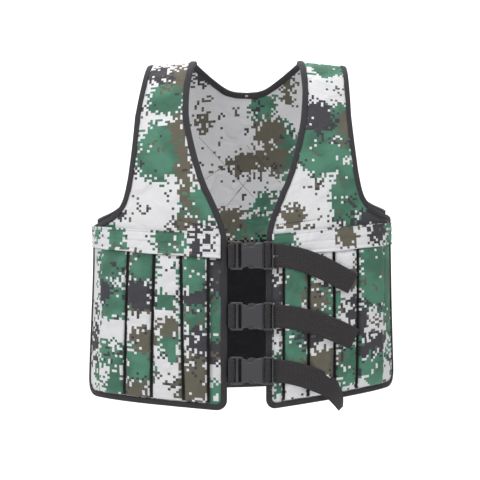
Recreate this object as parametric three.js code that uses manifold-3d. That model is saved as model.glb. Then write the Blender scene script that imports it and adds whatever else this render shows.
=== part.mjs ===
import * as THREE from 'three';
import { mergeVertices } from 'three/addons/utils/BufferGeometryUtils.js';
import Module from 'manifold-3d';

// A sleeveless weighted training vest in its worn form, in millimetres, +Z up.
// X runs to the wearer's left, the front faces -Y, and the origin lies midway
// between the two shoulder straps, at the height of their undersides.

// Worn form
const HEM_DROP = 556;        // shoulder top down to the hem at the sides
const FRONT_DIP = 30;        // how much lower the front hem hangs at the centre
const BACK_DIP = 12;         // the same at the back
const HALF_WIDTH = 250;      // half the chest width inside the cloth
const FRONT_DEPTH = 122;     // chest depth ahead of the shoulder line
const BACK_DEPTH = 110;      // chest depth behind it
const ROUNDNESS = 2.7;       // 2 is an ellipse, more is squarer
const SHOULDER_FALL = 9;     // how far a strap's outer edge lies below its inner one
const SIDE_LEAN = 8;         // the wearer's left side is worn this much higher
const SPREAD_LEFT = 0.975;   // each half is worn a little narrower or wider
const SPREAD_RIGHT = 1.05;
const FALL_END = 200;        // drop at which the straps' fall has died out
const LEAN_START = 60;       // drops between which the lean comes in
const LEAN_FULL = 220;
const SPREAD_FULL = 90;      // drop from which the spread is whole
const DIP_START = 80;        // drop from which the hem's dip comes in

// Panels
const PANEL_THICK = 4;
const NECK_HALF = 88;        // centre line to a strap's inner edge
const STRAP_WIDTH = 82;      // width of a shoulder strap at its top
const SIDE_GAP = 58;         // between a front and a back side edge, round the body
const NECK_DROP = 85;        // back neckline below the shoulder top, along the cloth
const INNER_CORNER = 16;     // hem corner radius at the front edge
const OUTER_CORNER = 30;     // hem corner radius at the side
const SEAM_BACK = 14;        // the shoulder seam lies this far behind the top

// Edge binding
const BINDING_WIDTH = 8.5;
const BINDING_THICK = 1;
const BINDING_GAP = 0.4;     // between the folded tape and the cloth in it

// Pockets and flaps
const POCKET_COUNT = 4;      // weight pockets on each front
const POCKET_THICK = 9;
const POCKET_GAP = 3;        // the pleat between two pockets
const PLACKET = 28;          // front edge to the first pocket
const OUTER_STRIP = 52;      // last pocket to the side edge
const FLAP_HEIGHT = 37;
const FLAP_THICK = 1.6;
const FLAP_TUCK = 8;         // how far the pockets start below that edge

// Buckles and webbing
const BUCKLE_DROPS = [328, 427, 516];   // height of each buckle below the shoulder top
const FLAP_RAISE = 11;       // the flap's sewn edge lies this far above the top buckle
const FLAP_DROP = BUCKLE_DROPS[0] - FLAP_RAISE;
const BUCKLE_SHIFT = 7;      // the buckles lie this far towards the wearer's left
const BUCKLE_LENGTH = 72;
const BUCKLE_OVERLAP = 3;    // a buckle reaches this far over both front edges
const FRONT_GAP = BUCKLE_LENGTH - 2 * BUCKLE_OVERLAP;   // between the two front edges
const BUCKLE_WIDTH = 46;
const BUCKLE_THICK = 11;
const FRAME_THICK = 5;       // the flat frames at both ends of a buckle
const SOCKET_START = -16.5;  // the socket's shell between the frames, from the buckle's middle
const SOCKET_END = 18;
const SHELL_WALL = 2.2;
const HOOK_WINDOW = 16;      // length of the openings at the shell's edges
const HOOK_WINDOW_DEPTH = 4;
const ARM_WIDTH = 4.5;       // the plug's spring arms
const HOOK_WIDTH = 2;
const GUIDE_LENGTH = 24.8;   // the plug's centre guide, inside the shell
const GUIDE_WIDTH = 5;
const MERGE = 1;             // parts of one solid run into each other by this much
const BAR = 4.4;             // bars that the webbing turns round
const OUTER_BAR = 2.6;       // bar at the plug's free end
const SLOT = 4;              // webbing slots
const WEBBING_WIDTH = 38;
const WEBBING_THICK = 1.4;
const ANCHOR_LENGTH = 18;    // webbing sewn inside each front edge
const TAIL_LENGTH = 134;     // free end, from the buckle's outer bar
const TAIL_STAND = 7;        // its tip stands this far off the pockets
const SIDE_STRAP_WIDTH = 30;
const SIDE_STRAP_DROPS = [400, 484];
const SIDE_STRAP_TUCK = 18;  // how far a side strap reaches inside each panel
const SIDE_STRAP_BULGE = 4;  // how far it stands out in the gap
const CLEAR = 0.3;           // gap between pieces that touch
const SLACK = 0.2;           // more room than that where webbing turns

// The shoulder line seen from the side: drop and depth as shares of the sizes above.
const FRONT_PROFILE = [
  { drop: 0.029, depth: 0.279 },
  { drop: 0.094, depth: 0.475 },
  { drop: 0.162, depth: 0.607 },
  { drop: 0.270, depth: 0.795 },
  { drop: 0.396, depth: 0.926 },
  { drop: 0.540, depth: 0.992 },
  { drop: 0.720, depth: 1.000 },
  { drop: 0.900, depth: 0.975 },
  { drop: 1.080, depth: 0.918 },
];
const BACK_PROFILE = [
  { drop: 0.025, depth: 0.309 },
  { drop: 0.083, depth: 0.545 },
  { drop: 0.171, depth: 0.727 },
  { drop: 0.288, depth: 0.882 },
  { drop: 0.432, depth: 0.982 },
  { drop: 0.594, depth: 1.000 },
  { drop: 0.791, depth: 0.955 },
  { drop: 1.061, depth: 0.891 },
];

// Half width of the worn form: drop as a share of HEM_DROP, width of HALF_WIDTH.
const WIDTHS = [
  { drop: 0, width: 0.824 },
  { drop: 0.216, width: 0.904 },
  { drop: 0.414, width: 0.984 },
  { drop: 0.594, width: 1.000 },
  { drop: 1.080, width: 1.032 },
];

// Front neckline: share of the front's length down, and of the way from the
// front edge (0) out to a strap's inner edge (1).
const NECKLINE = [
  { down: 0, out: 1.00 },
  { down: 0.07, out: 1.09 },
  { down: 0.14, out: 1.15 },
  { down: 0.22, out: 1.11 },
  { down: 0.28, out: 1.00 },
  { down: 0.345, out: 0.82 },
  { down: 0.40, out: 0.62 },
  { down: 0.45, out: 0.37 },
  { down: 0.49, out: 0.18 },
  { down: 0.53, out: 0.04 },
  { down: 0.57, out: 0 },
];

// Armhole: share of the length down, and of the way from a strap's outer edge
// (0) out to the side edge (1). Its last row is the corner under the arm.
const FRONT_ARMHOLE = [
  { down: 0, out: 0 },
  { down: 0.07, out: 0.035 },
  { down: 0.14, out: 0.07 },
  { down: 0.22, out: 0.104 },
  { down: 0.28, out: 0.13 },
  { down: 0.345, out: 0.165 },
  { down: 0.40, out: 0.204 },
  { down: 0.45, out: 0.27 },
  { down: 0.478, out: 0.365 },
  { down: 0.495, out: 0.48 },
  { down: 0.511, out: 0.70 },
  { down: 0.522, out: 1 },
];
const BACK_ARMHOLE = [
  { down: 0, out: 0 },
  { down: 0.13, out: 0.06 },
  { down: 0.26, out: 0.10 },
  { down: 0.36, out: 0.17 },
  { down: 0.43, out: 0.32 },
  { down: 0.475, out: 0.60 },
  { down: 0.50, out: 1 },
];

// Back neckline: share of NECK_DROP down, and of the neck's half width left open.
const BACK_NECKLINE = [
  { down: 0.17, open: 1 },
  { down: 0.30, open: 0.93 },
  { down: 0.45, open: 0.83 },
  { down: 0.62, open: 0.69 },
  { down: 0.84, open: 0.46 },
  { down: 0.95, open: 0.27 },
  { down: 1, open: 0 },
];

// Rows of the panels, as shares of a panel's length below the shoulder top.
const FRONT_ROWS = [0, 0.035, 0.07, 0.14, 0.22, 0.28, 0.345, 0.40, 0.43, 0.455, 0.478, 0.495,
  0.511, 0.57, 0.64, 0.74, 0.84];
const BACK_ROWS = [0.20, 0.27, 0.34, 0.40, 0.43, 0.455, 0.475, 0.57, 0.66, 0.76, 0.86];
const CORNER_ROWS = [1, 0.667, 0.4, 0.2, 0.067, 0];       // above the hem, of OUTER_CORNER
const BACK_COLUMNS = [0, 0.21, 0.41, 0.58, 0.72, 0.84, 0.93, 1];  // across each half of the back

// A pocket's height over the panel, along it and across it, as shares of POCKET_THICK.
const POCKET_ALONG = [
  { down: 0, rise: 0.25 },
  { down: 0.11, rise: 0.6 },
  { down: 0.24, rise: 0.97 },
  { down: 0.6, rise: 1 },
  { down: 0.9, rise: 0.94 },
  { down: 1, rise: 0.45 },
];
const POCKET_ACROSS = [
  { across: 0, rise: 0.38 },
  { across: 0.12, rise: 0.8 },
  { across: 0.5, rise: 1 },
  { across: 0.88, rise: 0.8 },
  { across: 1, rise: 0.38 },
];
const FLAP_RISE = 0.62;      // how far the flap's free edge clears, of POCKET_THICK

// Free webbing ends: heading below level, in degrees, over equal steps of TAIL_LENGTH,
// and the turn about their own length at the free end.
const TAILS = [
  { headings: [3, 10, 16, 21, 25, 28, 30, 30], turn: 8 },
  { headings: [2, 7, 12, 16, 20, 23, 26, 28], turn: 12 },
  { headings: [5, 12, 18, 25, 33, 42, 52, 62], turn: 48 },
];

const up = (a, b, t) => a + (b - a) * t;
// Which corner of a quad of cloth its diagonal meets, so that layers fold alike.
const reachOf = (point) => Math.abs(point.run) + 0.37 * Math.abs(point.girth);
const clamp = (value, low, high) => Math.min(high, Math.max(low, value));

// Reads a table with a falling or rising first column, straight between its rows.
function lookUp(xs, ys, x) {
  const last = xs.length - 1;
  if (x <= xs[0]) return ys[0];
  if (x >= xs[last]) return ys[last];
  let low = 0;
  let high = last;
  while (high - low > 1) {
    const middle = (low + high) >> 1;
    if (xs[middle] <= x) low = middle;
    else high = middle;
  }
  return up(ys[low], ys[high], (x - xs[low]) / (xs[high] - xs[low]));
}

// A smooth curve through a table's rows, sampled so that lookUp can read it.
function smooth(points) {
  const curve = new THREE.SplineCurve(points);
  const samples = curve.getPoints((points.length - 1) * 24);
  return { xs: samples.map((p) => p.x), ys: samples.map((p) => p.y) };
}

// The profile over the shoulder, by its length from the shoulder top.
function profileOf(table, depth) {
  const points = [new THREE.Vector2(0, 0)];
  for (const row of table) points.push(new THREE.Vector2(row.depth * depth, row.drop * HEM_DROP));
  const before = new THREE.Vector2(-points[1].x, points[1].y);
  const curve = new THREE.SplineCurve([before, ...points]);
  const first = 1 / points.length;
  const samples = [];
  const steps = 400;
  for (let i = 0; i <= steps; i += 1) samples.push(curve.getPoint(up(first, 1, i / steps)));
  const lengths = [0];
  for (let i = 1; i <= steps; i += 1) lengths.push(lengths[i - 1] + samples[i].distanceTo(samples[i - 1]));
  return { lengths, depths: samples.map((p) => p.x), drops: samples.map((p) => p.y) };
}

const front = profileOf(FRONT_PROFILE, FRONT_DEPTH);
const back = profileOf(BACK_PROFILE, BACK_DEPTH);
front.hem = lookUp(front.drops, front.lengths, HEM_DROP);
back.hem = lookUp(back.drops, back.lengths, HEM_DROP);

const widthRows = smooth(WIDTHS.map((row) => (
  new THREE.Vector2(row.drop * HEM_DROP, row.width * HALF_WIDTH)
)));

// A quarter of the body's outline at one height, by its length from the centre line.
const QUARTER_STEPS = 72;
const quarters = new Map();
function quarterAt(run) {
  if (quarters.has(run)) return quarters.get(run);
  const profile = run < 0 ? front : back;
  const depth = lookUp(profile.lengths, profile.depths, Math.abs(run));
  const drop = lookUp(profile.lengths, profile.drops, Math.abs(run));
  const width = lookUp(widthRows.xs, widthRows.ys, drop);
  const lengths = [0];
  const xs = [0];
  const ys = [depth];
  for (let i = 1; i <= QUARTER_STEPS; i += 1) {
    const angle = (i / QUARTER_STEPS) * Math.PI / 2;
    const sine = Math.sin(angle);
    const cosine = Math.max(0, Math.cos(angle));
    const radius = (sine ** ROUNDNESS + cosine ** ROUNDNESS) ** (-1 / ROUNDNESS);
    xs.push(width * radius * sine);
    ys.push(depth * radius * cosine);
    lengths.push(lengths[i - 1] + Math.hypot(xs[i] - xs[i - 1], ys[i] - ys[i - 1]));
  }
  const quarter = { drop, width, lengths, xs, ys };
  quarters.set(run, quarter);
  return quarter;
}

// A point on the inside of the cloth. The girth is the way round the body from the
// centre line, to the wearer's left. The run is the way over the shoulder from its
// top, below zero in front and above zero behind.
function place(girth, run) {
  const side = girth < 0 ? -1 : 1;
  const quarter = quarterAt(run);
  const x = lookUp(quarter.lengths, quarter.xs, Math.abs(girth));
  const depth = lookUp(quarter.lengths, quarter.ys, Math.abs(girth));
  const { drop, width } = quarter;
  const strapMiddle = NECK_HALF + STRAP_WIDTH / 2;
  const fall = (SHOULDER_FALL / STRAP_WIDTH) * (x - strapMiddle) * (1 - clamp(drop / FALL_END, 0, 1));
  const leaning = clamp((drop - LEAN_START) / (LEAN_FULL - LEAN_START), 0, 1);
  const lean = side * SIDE_LEAN * (x / HALF_WIDTH) * leaning;
  const hang = clamp((drop - DIP_START) / (HEM_DROP - DIP_START), 0, 2);
  const dip = run < 0 ? FRONT_DIP * (1 - x / width) : BACK_DIP * (1 - (x / width) ** 2);
  const spread = up(1, side < 0 ? SPREAD_RIGHT : SPREAD_LEFT, clamp(drop / SPREAD_FULL, 0, 1));
  return new THREE.Vector3(side * x * spread, run < 0 ? -depth : depth, -drop - fall + lean - hang * dip);
}

// The same point raised off the inside of the cloth, straight out of it.
function lift(girth, run, height) {
  const step = 0.5;
  const round = place(girth + step, run).sub(place(girth - step, run));
  const over = place(girth, run + step).sub(place(girth, run - step));
  return place(girth, run).addScaledVector(round.cross(over).normalize(), height);
}

// Girth and run of the point on the front at a given X and Z.
function frontAt(x, z) {
  let girth = x;
  let run = z;
  for (let i = 0; i < 25; i += 1) {
    const here = place(girth, run);
    girth += clamp(x - here.x, -20, 20);
    run += clamp(z - here.z, -20, 20);
  }
  return { girth, run };
}

function runAtDrop(profile, drop) {
  const length = lookUp(profile.drops, profile.lengths, drop);
  return profile === front ? -length : length;
}

// Flat pattern of the panels
const FRONT_EDGE = FRONT_GAP / 2;
const STRAP_OUTER = NECK_HALF + STRAP_WIDTH;
const frontCorner = front.hem * FRONT_ARMHOLE.at(-1).down;
const backCorner = back.hem * BACK_ARMHOLE.at(-1).down;
const FRONT_REACH = quarterAt(-frontCorner).lengths.at(-1) - SIDE_GAP / 2;
const BACK_REACH = quarterAt(backCorner).lengths.at(-1) - SIDE_GAP / 2;

const neckRows = smooth(NECKLINE.map((row) => new THREE.Vector2(row.down, row.out)));
const backNeckRows = smooth(BACK_NECKLINE.map((row) => new THREE.Vector2(row.down, row.open)));
const frontArmRows = smooth(FRONT_ARMHOLE.map((row) => new THREE.Vector2(row.down, row.out)));
const backArmRows = smooth(BACK_ARMHOLE.map((row) => new THREE.Vector2(row.down, row.out)));

// How far a round corner draws in an edge, at a height above the hem.
function cornerInset(radius, above) {
  if (above >= radius) return 0;
  return radius - Math.sqrt(radius ** 2 - (radius - above) ** 2);
}

function frontInner(down) {
  const share = lookUp(neckRows.xs, neckRows.ys, down / front.hem);
  return up(FRONT_EDGE, NECK_HALF, Math.max(0, share)) + cornerInset(INNER_CORNER, front.hem - down);
}

function frontOuter(down) {
  const share = lookUp(frontArmRows.xs, frontArmRows.ys, down / front.hem);
  return up(STRAP_OUTER, FRONT_REACH, share) - cornerInset(OUTER_CORNER, front.hem - down);
}

function backInner(down) {
  return NECK_HALF * lookUp(backNeckRows.xs, backNeckRows.ys, down / NECK_DROP);
}

function backOuter(down) {
  const share = lookUp(backArmRows.xs, backArmRows.ys, down / back.hem);
  return up(STRAP_OUTER, BACK_REACH, share) - cornerInset(OUTER_CORNER, back.hem - down);
}

// The pockets' places round a front. The panel's columns lie at each pleat and at the
// middle of each pocket, so that its faces and the pockets' bend alike.
const pocketStart = FRONT_EDGE + PLACKET;
const pocketPitch = (FRONT_REACH - OUTER_STRIP - pocketStart) / POCKET_COUNT;
const panelStart = FRONT_EDGE + BINDING_WIDTH;
const panelEnd = FRONT_REACH - BINDING_WIDTH;
const halfPockets = Array.from({ length: 2 * POCKET_COUNT + 1 }, (_, i) => (
  pocketStart + (i * pocketPitch) / 2
));
const FRONT_COLUMNS = [panelStart, ...halfPockets, up(halfPockets.at(-1), panelEnd, 0.5), panelEnd]
  .map((girth) => (girth - panelStart) / (panelEnd - panelStart));

// Rows down each panel. A tape starts just below the corner under the arm, and the
// front edge's tape ends where the hem's corner begins.
const TAPE_START = BINDING_WIDTH + 1;
const tapeEnd = front.hem - OUTER_CORNER;
const cornerDowns = (hem) => CORNER_ROWS.map((share) => hem - share * OUTER_CORNER);
const inOrder = (downs) => [...downs].sort((a, b) => a - b);
const frontDowns = inOrder([
  ...FRONT_ROWS.map((share) => share * front.hem),
  frontCorner,
  frontCorner + TAPE_START,
  tapeEnd + CLEAR,
  ...cornerDowns(front.hem),
]);
const backDowns = inOrder([
  SEAM_BACK + CLEAR,
  ...BACK_NECKLINE.map((row) => row.down * NECK_DROP).filter((down) => down > SEAM_BACK + 1),
  ...BACK_ROWS.map((share) => share * back.hem),
  backCorner,
  backCorner + TAPE_START,
  ...cornerDowns(back.hem),
]);

// Edges of the panels that carry binding, as paths of pattern points. The cloth lies
// to the right of a path (hand 1) or to its left (hand -1), and each point also holds
// the point below the binding's inner edge.
function withInsets(path, hand) {
  const ways = [];
  for (let i = 0; i + 1 < path.length; i += 1) {
    const [here, next] = [path[i], path[i + 1]];
    ways.push(new THREE.Vector2(next.girth - here.girth, next.run - here.run).normalize());
  }
  const inwardOf = (way) => new THREE.Vector2(hand * way.y, -hand * way.x);
  return path.map((point, i) => {
    const one = inwardOf(ways[Math.max(0, i - 1)]);
    const two = inwardOf(ways[Math.min(ways.length - 1, i)]);
    const inward = one.clone().add(two).divideScalar(1 + one.dot(two));
    const inset = {
      girth: point.girth + inward.x * BINDING_WIDTH,
      run: point.run + inward.y * BINDING_WIDTH,
    };
    return { ...point, inset };
  });
}

// At the corner under the arm the armhole's binding is cut off along the side edge.
function cutAtSide(path) {
  for (const [end, before] of [[path[0], path[1]], [path.at(-1), path.at(-2)]]) {
    const share = (end.girth - end.inset.girth) / (before.girth - end.girth);
    end.inset.girth = end.girth;
    end.inset.run += share * (before.run - end.run);
  }
  return path;
}

const frontHemRow = (sign) => FRONT_COLUMNS.map((share) => (
  { girth: sign * up(frontInner(front.hem), frontOuter(front.hem), share), run: -front.hem }
));
const backHemRow = (sign) => BACK_COLUMNS.map((share) => (
  { girth: sign * backOuter(back.hem) * share, run: back.hem }
));
const frontRing = (edge, downs, sign) => downs.map((down) => ({ girth: sign * edge(down), run: -down }));
const backRing = (edge, downs, sign) => downs.map((down) => ({ girth: sign * edge(down), run: down }));

function neckPath() {
  const half = (sign) => [
    ...frontRing(frontInner, frontDowns.filter((down) => down <= tapeEnd).reverse(), sign),
    { girth: sign * frontInner(0), run: SEAM_BACK },
    ...backRing(backInner, backDowns.filter((down) => down <= NECK_DROP), sign),
  ];
  return withInsets([...half(1), ...half(-1).reverse().slice(1)], 1);
}

function armholePath(sign) {
  return cutAtSide(withInsets([
    ...frontRing(frontOuter, frontDowns.filter((down) => down <= frontCorner).reverse(), sign),
    { girth: sign * frontOuter(0), run: SEAM_BACK },
    ...backRing(backOuter, backDowns.filter((down) => down <= backCorner), sign),
  ], -sign));
}

function frontHemPath(sign) {
  const outer = frontDowns.filter((down) => down > frontCorner && down < front.hem);
  const inner = frontDowns.filter((down) => down > tapeEnd && down < front.hem);
  return withInsets([
    ...frontRing(frontOuter, outer, sign),
    ...frontHemRow(sign).reverse(),
    ...frontRing(frontInner, inner.reverse(), sign),
  ], sign);
}

function backHemPath() {
  const outer = backDowns.filter((down) => down > backCorner && down < back.hem);
  const half = (sign) => [
    ...backRing(backOuter, outer, sign),
    ...backHemRow(sign).reverse(),
  ];
  return withInsets([...half(1), ...half(-1).reverse().slice(1)], -1);
}

const keyOf = (point) => `${Math.round(point.girth * 500) + 0} ${Math.round(point.run * 500) + 0}`;
const paths = {
  neck: neckPath(),
  armhole_left: armholePath(1),
  armhole_right: armholePath(-1),
  hem_left: frontHemPath(1),
  hem_right: frontHemPath(-1),
  hem_back: backHemPath(),
};
const insets = new Map(Object.values(paths).flat().map((point) => [keyOf(point), point.inset]));

// Solids

function geometryOf(positions, indices) {
  const geometry = new THREE.BufferGeometry();
  const numbers = positions.flatMap((p) => [p.x, p.y, p.z]);
  geometry.setAttribute('position', new THREE.Float32BufferAttribute(numbers, 3));
  geometry.setIndex(indices);
  let volume = 0;
  for (let i = 0; i < indices.length; i += 3) {
    const [a, b, c] = [positions[indices[i]], positions[indices[i + 1]], positions[indices[i + 2]]];
    volume += a.dot(new THREE.Vector3().crossVectors(b, c));
  }
  if (volume < 0) geometry.setIndex(indices.reverse());
  geometry.computeVertexNormals();
  return geometry;
}

// A quad's two triangles, with the diagonal at the corner that reaches furthest.
function halves(quad, reaches) {
  const [a, b, c, d] = quad;
  const far = reaches.indexOf(Math.max(...reaches));
  return far % 2 === 0 ? [[a, b, c], [a, c, d]] : [[a, b, d], [b, c, d]];
}

// A sheet of cloth: quads of pattern points, made solid between two heights. Points
// that two quads share are one, and each edge that only one quad has gets a wall.
function sheet(quads, low, high) {
  const numbers = new Map();
  const points = [];
  const numberOf = (point) => {
    const key = keyOf(point);
    if (!numbers.has(key)) {
      numbers.set(key, points.length);
      points.push(point);
    }
    return numbers.get(key);
  };
  const faces = quads.flatMap((quad) => halves(quad.map(numberOf), quad.map(reachOf)));
  const count = points.length;
  const positions = [
    ...points.map((p) => lift(p.girth, p.run, high(p))),
    ...points.map((p) => lift(p.girth, p.run, low(p))),
  ];
  const indices = [];
  const edges = new Map();
  for (const [i, j, k] of faces) {
    if (i === j || j === k || k === i) continue;
    indices.push(i, j, k, k + count, j + count, i + count);
    for (const [from, to] of [[i, j], [j, k], [k, i]]) {
      if (edges.has(`${to} ${from}`)) edges.delete(`${to} ${from}`);
      else edges.set(`${from} ${to}`, [from, to]);
    }
  }
  for (const [from, to] of edges.values()) {
    indices.push(to, from, from + count, to, from + count, to + count);
  }
  return geometryOf(positions, indices);
}

// Rows of pattern points joined into quads.
function quadsOf(rows) {
  const quads = [];
  for (let i = 0; i + 1 < rows.length; i += 1) {
    for (let j = 0; j + 1 < rows[i].length; j += 1) {
      quads.push([rows[i][j], rows[i][j + 1], rows[i + 1][j + 1], rows[i + 1][j]]);
    }
  }
  return quads;
}

// A solid swept through sections with the same number of points. The caps are the
// quads of a section's points, given by their numbers. Reaches, where given, choose
// each side quad's diagonal.
function sweep(sections, caps, reaches) {
  const size = sections[0].length;
  const indices = [];
  for (let i = 0; i + 1 < sections.length; i += 1) {
    for (let j = 0; j < size; j += 1) {
      const next = (j + 1) % size;
      const quad = [i * size + j, i * size + next, (i + 1) * size + next, (i + 1) * size + j];
      indices.push(...halves(quad, quad.map((k) => (reaches ? reaches[k] : 0))).flat());
    }
  }
  const end = (sections.length - 1) * size;
  for (const [a, b, c, d] of caps) {
    indices.push(c, b, a, d, c, a);
    indices.push(end + a, end + b, end + c, end + a, end + c, end + d);
  }
  return geometryOf(sections.flat(), indices);
}

// A flat band through stations, each with its two edges and the way out of its face.
function band(stations, thick) {
  const half = thick / 2;
  const sections = stations.map(({ left, right, out }) => [
    left.clone().addScaledVector(out, half),
    right.clone().addScaledVector(out, half),
    right.clone().addScaledVector(out, -half),
    left.clone().addScaledVector(out, -half),
  ]);
  return sweep(sections, [[0, 1, 2, 3]]);
}

// Folded binding along an edge of the panels.
function binding(path) {
  const reach = BINDING_GAP + BINDING_THICK;
  const profile = [
    [BINDING_WIDTH, PANEL_THICK + reach],
    [-reach, PANEL_THICK + reach],
    [-reach, -reach],
    [BINDING_WIDTH, -reach],
    [BINDING_WIDTH, -BINDING_GAP],
    [-BINDING_GAP, -BINDING_GAP],
    [-BINDING_GAP, PANEL_THICK + BINDING_GAP],
    [BINDING_WIDTH, PANEL_THICK + BINDING_GAP],
  ];
  const flat = path.map((point) => profile.map(([width]) => ({
    girth: up(point.girth, point.inset.girth, width / BINDING_WIDTH),
    run: up(point.run, point.inset.run, width / BINDING_WIDTH),
  })));
  const sections = flat.map((points) => (
    points.map((point, j) => lift(point.girth, point.run, profile[j][1]))
  ));
  return sweep(sections, [[0, 1, 6, 7], [1, 2, 5, 6], [2, 3, 4, 5]], flat.flat().map(reachOf));
}

const wasm = await Module();
wasm.setup();

function toManifold(geometry) {
  const bare = geometry.clone();
  for (const name of ['normal', 'uv']) bare.deleteAttribute(name);
  const welded = mergeVertices(bare, 1e-4);
  return new wasm.Manifold(new wasm.Mesh({
    numProp: 3,
    vertProperties: new Float32Array(welded.attributes.position.array),
    triVerts: new Uint32Array(welded.index.array),
  }));
}

function toGeometry(manifold) {
  const mesh = manifold.getMesh();
  const geometry = new THREE.BufferGeometry();
  geometry.setAttribute('position', new THREE.BufferAttribute(mesh.vertProperties, 3));
  geometry.setIndex(new THREE.BufferAttribute(mesh.triVerts, 1));
  geometry.computeVertexNormals();
  return geometry;
}

// Materials
const cloth = (color) => new THREE.MeshStandardMaterial({ color, roughness: 0.9, metalness: 0 });
const panelCloth = cloth('#8f9c92');
const pocketCloth = cloth('#6f9180');
const flapCloth = cloth('#b5b9b6');
const bindingCloth = cloth('#4a4849');
const webbing = cloth('#3a3839');
const plastic = new THREE.MeshStandardMaterial({ color: '#4d4d50', roughness: 0.45, metalness: 0 });

const vest = new THREE.Group();
const SIDES = [
  { name: 'left', sign: 1 },
  { name: 'right', sign: -1 },
];

function add(name, geometry, material, parent = vest) {
  const mesh = new THREE.Mesh(geometry, material);
  mesh.name = name;
  parent.add(mesh);
  return mesh;
}

// Panels
const inside = () => 0;
const outside = () => PANEL_THICK;

// A row of a panel between two edge points, with the points below their bindings.
function panelRow(one, two, columns) {
  const from = insets.get(keyOf(one)) ?? one;
  const to = insets.get(keyOf(two)) ?? two;
  const between = columns.map((share) => (
    { girth: up(from.girth, to.girth, share), run: up(from.run, to.run, share) }
  ));
  return [one, ...between, two];
}

// Rows down to the hem as quads. At a break an edge's binding ends, and the row below
// starts from the point that lay under the binding: at its first or its last column.
function panelQuads(rows, breaks, hemRow) {
  const quads = [];
  for (let i = 0; i < rows.length; i += 1) {
    const above = [...rows[i]];
    if (breaks.first === i) above[0] = above[1];
    if (breaks.last === i) above[above.length - 1] = above[above.length - 2];
    quads.push(...quadsOf([above, rows[i + 1] ?? hemRow]));
  }
  return quads;
}

function frontPanel(sign) {
  const rows = [SEAM_BACK, ...frontDowns.map((down) => -down)].map((run) => {
    const down = Math.max(0, -run);
    const ends = [frontInner(down), frontOuter(down)].map((girth) => ({ girth: sign * girth, run }));
    return panelRow(...ends, FRONT_COLUMNS);
  });
  const ends = [rows.at(-1)[0], rows.at(-1).at(-1)];
  const across = frontHemRow(sign);
  rows[rows.length - 1] = [ends[0], ...across.map((point) => insets.get(keyOf(point))), ends[1]];
  const breaks = { last: 1 + frontDowns.indexOf(frontCorner) };
  return sheet(panelQuads(rows, breaks, [ends[0], ...across, ends[1]]), inside, outside);
}

function backPanel() {
  const quads = SIDES.flatMap(({ sign }) => {
    const rows = backDowns.map((down) => {
      const ends = [backInner(down), backOuter(down)].map((girth) => ({ girth: sign * girth, run: down }));
      return panelRow(...ends, BACK_COLUMNS);
    });
    const end = rows.at(-1).at(-1);
    const across = backHemRow(sign);
    const above = across.map((point) => insets.get(keyOf(point)));
    rows[rows.length - 1] = [above[0], ...above, end];
    const breaks = { first: backDowns.indexOf(NECK_DROP), last: backDowns.indexOf(backCorner) };
    const half = panelQuads(rows, breaks, [across[0], ...across, end]);
    return sign > 0 ? half : half.map((quad) => [...quad].reverse());
  });
  return sheet(quads, inside, outside);
}

add('back_panel', backPanel(), panelCloth);
for (const { name, sign } of SIDES) add(`front_panel_${name}`, frontPanel(sign), panelCloth);

// Binding: one tape round the front edges and the neck, one round each armhole, and
// one along each side and hem. Their ends meet at the hem and under the arms.
add('neck_binding', binding(paths.neck), bindingCloth);
for (const { name } of SIDES) {
  add(`armhole_binding_${name}`, binding(paths[`armhole_${name}`]), bindingCloth);
  add(`hem_binding_${name}`, binding(paths[`hem_${name}`]), bindingCloth);
}
add('hem_binding_back', binding(paths.hem_back), bindingCloth);

// Pockets: upright padded channels, sewn on side by side with a pleat between them.
const pocketTop = FLAP_DROP + FLAP_TUCK;
const pocketBottom = front.hem - BINDING_WIDTH - 2;
const pocketBase = PANEL_THICK + CLEAR;
const pocketDowns = [
  pocketTop,
  ...FRONT_ROWS.map((share) => share * front.hem)
    .filter((down) => down > pocketTop + 1 && down < tapeEnd - 1),
  tapeEnd,
  pocketBottom,
];

function pocket(sign, number) {
  const near = pocketStart + number * pocketPitch + POCKET_GAP / 2;
  const width = pocketPitch - POCKET_GAP;
  const rows = pocketDowns.map((down) => POCKET_ACROSS.map((across) => ({
    girth: sign * (near + across.across * width),
    run: -down,
    rise: across.rise * lookUp(
      POCKET_ALONG.map((row) => row.down),
      POCKET_ALONG.map((row) => row.rise),
      (down - pocketTop) / (pocketBottom - pocketTop),
    ),
  })));
  return sheet(quadsOf(rows), () => pocketBase, (point) => pocketBase + POCKET_THICK * point.rise);
}

for (const { name, sign } of SIDES) {
  for (let i = 0; i < POCKET_COUNT; i += 1) add(`pocket_${name}_${i + 1}`, pocket(sign, i), pocketCloth);
}

// Flaps: one strip over the tops of each front's pockets. Its upper edge lies over the
// side binding, and its lower edge is free.
const flapLow = PANEL_THICK + BINDING_GAP + BINDING_THICK + CLEAR;
const flapHigh = pocketBase + POCKET_THICK * FLAP_RISE + CLEAR;
const FLAP_START = { left: BINDING_WIDTH + CLEAR, right: 0 };
const FLAP_ROWS = [
  { down: 0, rise: 0 },
  { down: 0.4, rise: 0.55 },
  { down: 1, rise: 1 },
];

function flap(name, sign) {
  const start = FRONT_EDGE + FLAP_START[name];
  const columns = [
    { girth: start, rise: 0 },
    { girth: pocketStart, rise: 0.55 },
    ...halfPockets.slice(1, -1).map((girth) => ({ girth, rise: 1 })),
    { girth: halfPockets.at(-1), rise: 0.9 },
    { girth: up(halfPockets.at(-1), panelEnd, 0.5), rise: 0.3 },
    { girth: panelEnd, rise: 0.05 },
    { girth: FRONT_REACH, rise: 0 },
  ];
  const rows = FLAP_ROWS.map((row) => columns.map((column) => ({
    girth: sign * column.girth,
    run: -FLAP_DROP - row.down * FLAP_HEIGHT,
    rise: row.rise * column.rise,
  })));
  const low = (point) => up(flapLow, flapHigh, point.rise);
  return sheet(quadsOf(rows), low, (point) => low(point) + FLAP_THICK);
}

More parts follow.
